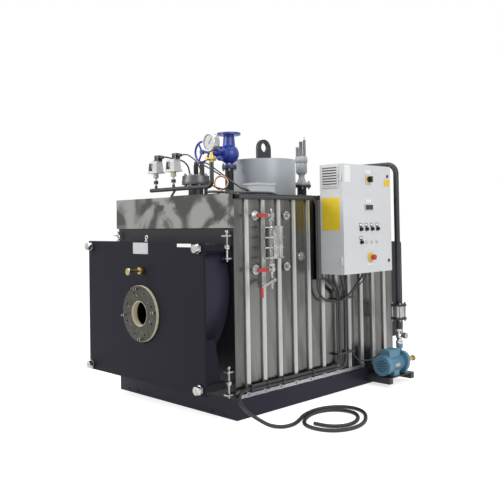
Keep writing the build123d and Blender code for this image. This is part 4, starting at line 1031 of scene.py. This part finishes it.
# %% Nuts and arm of the level gauge
COLUMN = (716, 290)   # upright axis of the glass, across and behind
for name, place, body in (
    ("upper_lever_nut", mm(741, 240, 1335), "upper_lever"),
    ("lower_lever_nut", mm(741, 240, 971), "lower_lever"),
    ("drain_lever_nut", mm(741, 290, 900), "drain_lever"),
):
    wear([nut(name, place, 22, "x", height=7, stud=0.12)], plated, body)
for name, place, across, axis in (
    ("upper_column_nut", mm(*COLUMN, 1294), 36, "z"),
    ("lower_column_nut", mm(*COLUMN, 990), 36, "z"),
    ("drain_column_nut", mm(*COLUMN, 866), 24, "z"),
    ("upper_wall_nut", mm(666, 192, 1335), 38, "x"),
    ("lower_wall_nut", mm(666, 192, 971), 38, "x"),
):
    wear([nut(name, place, across, axis, height=17, stud=0)], plated)
for number, (behind, z) in enumerate(((504, 1334), (501, 977), (654, 1042)), 1):
    wear([nut("plug_nut_%d" % number, mm(677, behind, z), 24, "x", height=11, stud=0)], plated)
    wear([band_round("plug_ring_%d" % number, mm(660, behind, z), 31, 6, "x", 6, 32)], brushed_bar)
arm = block("drain_arm", Vector((-0.0056, -0.011, -0.0084)), Vector((0.0052, 0.124, 0.0084)))
soften(arm, 0.8, 1)
lean = math.atan2(43, 118)
arm.data.transform(Matrix.Translation(mm(737, 290, 900)) @ Matrix.Rotation(math.pi + lean, 4, "X"))
wear([arm], brushed_bar, "drain_lever")
guard_nuts = [nut("guard_nut", mm(724, behind, 1048 + i * 206 / 3), 9, "x", height=4, stud=0.5)
              for i in range(4) for behind in (322, 380)]
wear(guard_nuts, plated)
print("level gauge dressed, guard nuts", len(guard_nuts))

# %% [markdown]
# ## Feed pump
#
# The fan cowl has rings of round holes in its end, drawn here as dark discs let into the cast
# face: they show the black behind them and paint the shade inside the cowl. The terminal box
# gets its lid and screws, the check valve its bare body between black flanges, and the inlet its
# brass union, with a tail whose end is scaled up and pushed out as the collar of the next joint.

# %% Cowl holes, lid and unions
def on_pump(behind):
    """A place on the axis of the pump."""
    return mm(PUMP_X, behind, PUMP_Z)


# Dark discs for the holes: the black behind them, and painted shade inside the cowl.
hole = soften(rod("cowl_hole", on_pump(1403.6), 6.6, 1.0, "y", 14), 0.3, 1)
holes = copies(hole, [(0, 0, 0)] + ring_shifts(20, 6, "y") + ring_shifts(39, 12, "y", 0.13))
wear(holes, black_abs)
cowl = band_round("cowl_rim", on_pump(1464), 77.2, 62.5, "y", 1.2, 48)
wear([soften(cowl, 0.5, 1)], motor_enamel)
wear([soften(block("terminal_lid", mm(771, 1450, 268), mm(861, 1598, 277)), 2.5)], motor_enamel)
lid_screws = copies(round_head("lid_screw", mm(779, 1458, 277), 4, "z"),
                    [(x, y, 0) for x in (0, 74) for y in (0, 132)])
wear(lid_screws, zinc_plate)
wear([soften(rod("terminal_gland", mm(763, 1478, 242), 12, 12, "x", 6), 1.2)], black_abs)
plate("motor_plate", mm(881.4, 1500, 148), mm(882.6, 1560, 176), silver_foil, "boiler")
CHECK_LOW, CHECK_LENGTH = 513, 91
check_body = band_round("check_body", mm(*CHECK, CHECK_LOW), 43, CHECK_LENGTH, "z", 2, 40)
wear([soften(check_body, 0.6, 1)], brushed_bar)
for number, (x, y, z) in enumerate(ring_shifts(50, 4, "z", math.pi / 4), 1):
    foot = mm(CHECK[0] + x, CHECK[1] + y, CHECK_LOW)
    stud = soften(rod("check_stud_%d" % number, foot, 7.6, CHECK_LENGTH, "z", 12), 0.8, 1)
    wear([stud], zinc_plate)
low_hexagon = rod("valve_hexagon_low", mm(*CHECK, 304), 29, 18, "z", 6)
top_hexagon = rod("valve_hexagon_top", mm(*CHECK, 402), 29, 18, "z", 6)
wear([soften(low_hexagon, 1), soften(top_hexagon, 1)], plated)
union = soften(rod("inlet_union", on_pump(1740), 30, 34, "y", 6), 1.5)
inlet = soften(band_round("inlet_sleeve", on_pump(1771.5), 20.8, 32, "y", 5, 32), 1.0)
TAIL_END = on_pump(1838)
tail = rod("inlet_tail", TAIL_END, 15, 68, "y", 24)
pick(tail, facing("y", -1))
bpy.ops.mesh.inset(thickness=0.0001)
bpy.ops.transform.resize(value=(1.5, 1, 1.5), center_override=TAIL_END)
push(-16, "y")
bpy.ops.object.mode_set(mode="OBJECT")
wear([union, inlet, soften(tail, 1.2)], brass_bar)
print("pump dressed, cowl holes", len(holes))

# %% [markdown]
# ## Probes and junction box
#
# The two probes stand on plated nuts and end in black plugs. The junction box on the roof
# takes the cables through three glands, and four screws hold its lid.

# %% Probe nuts, plugs and box screws
for number, x in enumerate((-20, 50), 1):
    tag = "probe_%d" % number
    wear([nut(tag + "_nut", mm(x, 260, 1641), 38, "z", height=15, stud=0)], plated)
    sleeve = soften(rod(tag + "_sleeve", mm(x, 260, 1656), 17.8, 68), 2)
    head = soften(rod(tag + "_plug", mm(x, 260, 1722), 14, 28, "z", 20), 3)
    wear([sleeve, head], black_abs)
for number, (x, z) in enumerate(((370, 1512), (322, 1535), (348, 1525)), 1):
    wear([soften(rod("box_gland_%d" % number, mm(x, 440, z), 10, 14, "y", 6), 1.2)], black_abs)
box_screws = copies(round_head("box_screw", mm(304, 444, 1576), 4.5, "z"),
                    [(x, y, 0) for x in (0, 132) for y in (0, 182)])
wear(box_screws, zinc_plate)
print("probes and junction box dressed")

# %% [markdown]
# ## Seams and bolts of the hidden sides
#
# The roof is closed by folded sheets with flat seams, and the cover of the rear smoke box is
# held by hexagon bolts all round, as the doors of such boxes are. Both are modelled once and
# copied along their rows.

# %% Roof seams and rear cover
ROOF = 1480
seam = draw_out(block("roof_seam", mm(-640, 700, ROOF), mm(-268, 724, ROOF + 1.6)), "z", (4, 0.8))
seams = copies(soften(seam, 0.4, 1), [(x, y, 0) for x in (0, 908) for y in (0, 500)])
wear(seams, casing_steel_painted_reflections)
roof_screws = copies(round_head("roof_screw", mm(-634, 60, ROOF), 6, "z"),
                     [(x, 210 * i, 0) for x in (0, 1268) for i in range(9)])
wear(roof_screws, zinc_plate)
COVER_FACE = 1982
cover = block("rear_cover", mm(-560, COVER_FACE - 6, 380), mm(560, COVER_FACE, 1050))
wear([soften(draw_out(cover, "y", (50, -3), sign=-1), 1.5)], navy_enamel)
cover_shifts = [(x, 0, z) for x in range(-540, 541, 180) for z in (400, 1030)]
cover_shifts += [(x, 0, z) for x in (-540, 540) for z in (557, 715, 873)]
wear(copies(nut("cover_nut", mm(0, COVER_FACE, 0), 19, "y", sign=-1), cover_shifts), zinc_plate)
flue_band = band_round("flue_band", mm(0, 2061, 800), 128, 16, "y", 3, 64)
wear([soften(flue_band, 0.8, 1)], zinc_plate)
print("roof seams", len(seams), "and cover nuts", len(cover_shifts))

# %% [markdown]
# ## Floor, backdrop and light
#
# The boiler stands in a white studio. The floor takes its shadow as any floor does, and adds
# light of its own only where the camera or a reflection sees it, so that it fades into the
# white world behind. Three large soft lamps give the object a plain level.

# %% Studio
def seen_directly(tree):
    """1 where the camera, a mirror or glass looks, 0 for light that falls on the object."""
    rays = add(tree, "ShaderNodeLightPath").outputs
    mirror = add(tree, "ShaderNodeMath", {0: rays["Is Camera Ray"], 1: rays["Is Glossy Ray"]},
                 operation="MAXIMUM")
    either = add(tree, "ShaderNodeMath", {0: mirror.outputs[0], 1: rays["Is Transmission Ray"]},
                 operation="MAXIMUM")
    return either.outputs[0]


WHITE = (1, 1, 1, 1)
world = bpy.data.worlds.new("white_studio")
bpy.context.scene.world = world
world.use_nodes = True
sky = world.node_tree
sky.nodes.clear()
soft = add(sky, "ShaderNodeBackground", {"Color": WHITE, "Strength": 0.55})
white = add(sky, "ShaderNodeBackground", {"Color": WHITE, "Strength": 1.0})
sky_mix = add(sky, "ShaderNodeMixShader",
              {0: seen_directly(sky), 1: soft.outputs[0], 2: white.outputs[0]})
add(sky, "ShaderNodeOutputWorld", {"Surface": sky_mix.outputs[0]})

floor_material = bpy.data.materials.new("white_studio_floor")
floor_material.use_nodes = True
ground = floor_material.node_tree
ground.nodes.clear()
matt = add(ground, "ShaderNodeBsdfDiffuse", {"Color": (0.66, 0.66, 0.66, 1)})
glow = add(ground, "ShaderNodeEmission", {"Color": WHITE, "Strength": 0.70})
both = add(ground, "ShaderNodeAddShader", {0: matt.outputs[0], 1: glow.outputs[0]})
ground_mix = add(ground, "ShaderNodeMixShader",
                 {0: seen_directly(ground), 1: matt.outputs[0], 2: both.outputs[0]})
add(ground, "ShaderNodeOutputMaterial", {"Surface": ground_mix.outputs[0]})
bpy.ops.object.select_all(action="DESELECT")
bpy.ops.mesh.primitive_plane_add(size=STUDIO_M, location=(0, 0, -0.001))
floor = bpy.context.object
floor.name = "studio_floor"
floor.data.materials.append(floor_material)


def lamp(name, place, aim, size, power):
    """A large square lamp that points at a place."""
    data = bpy.data.lights.new(name, "AREA")
    data.shape = "SQUARE"
    data.size = size
    data.energy = power
    light = bpy.data.objects.new(name, data)
    aimed = (Vector(place) - Vector(aim)).to_track_quat("Z", "Y").to_matrix().to_4x4()
    light.matrix_world = Matrix.Translation(place) @ aimed
    bpy.context.scene.collection.objects.link(light)


lamp("key_lamp", (-2.6, -5.4, 3.7), (0, -0.6, 0.8), 3.2, 240)
lamp("side_lamp", (5.4, -1.2, 3.6), (0.5, 0, 0.8), 3.4, 160)
lamp("top_lamp", (0.2, 0.4, 5.4), (0, 0, 1.0), 3.0, 110)

bpy.context.scene.view_settings.view_transform = "Standard"
print("studio ready")
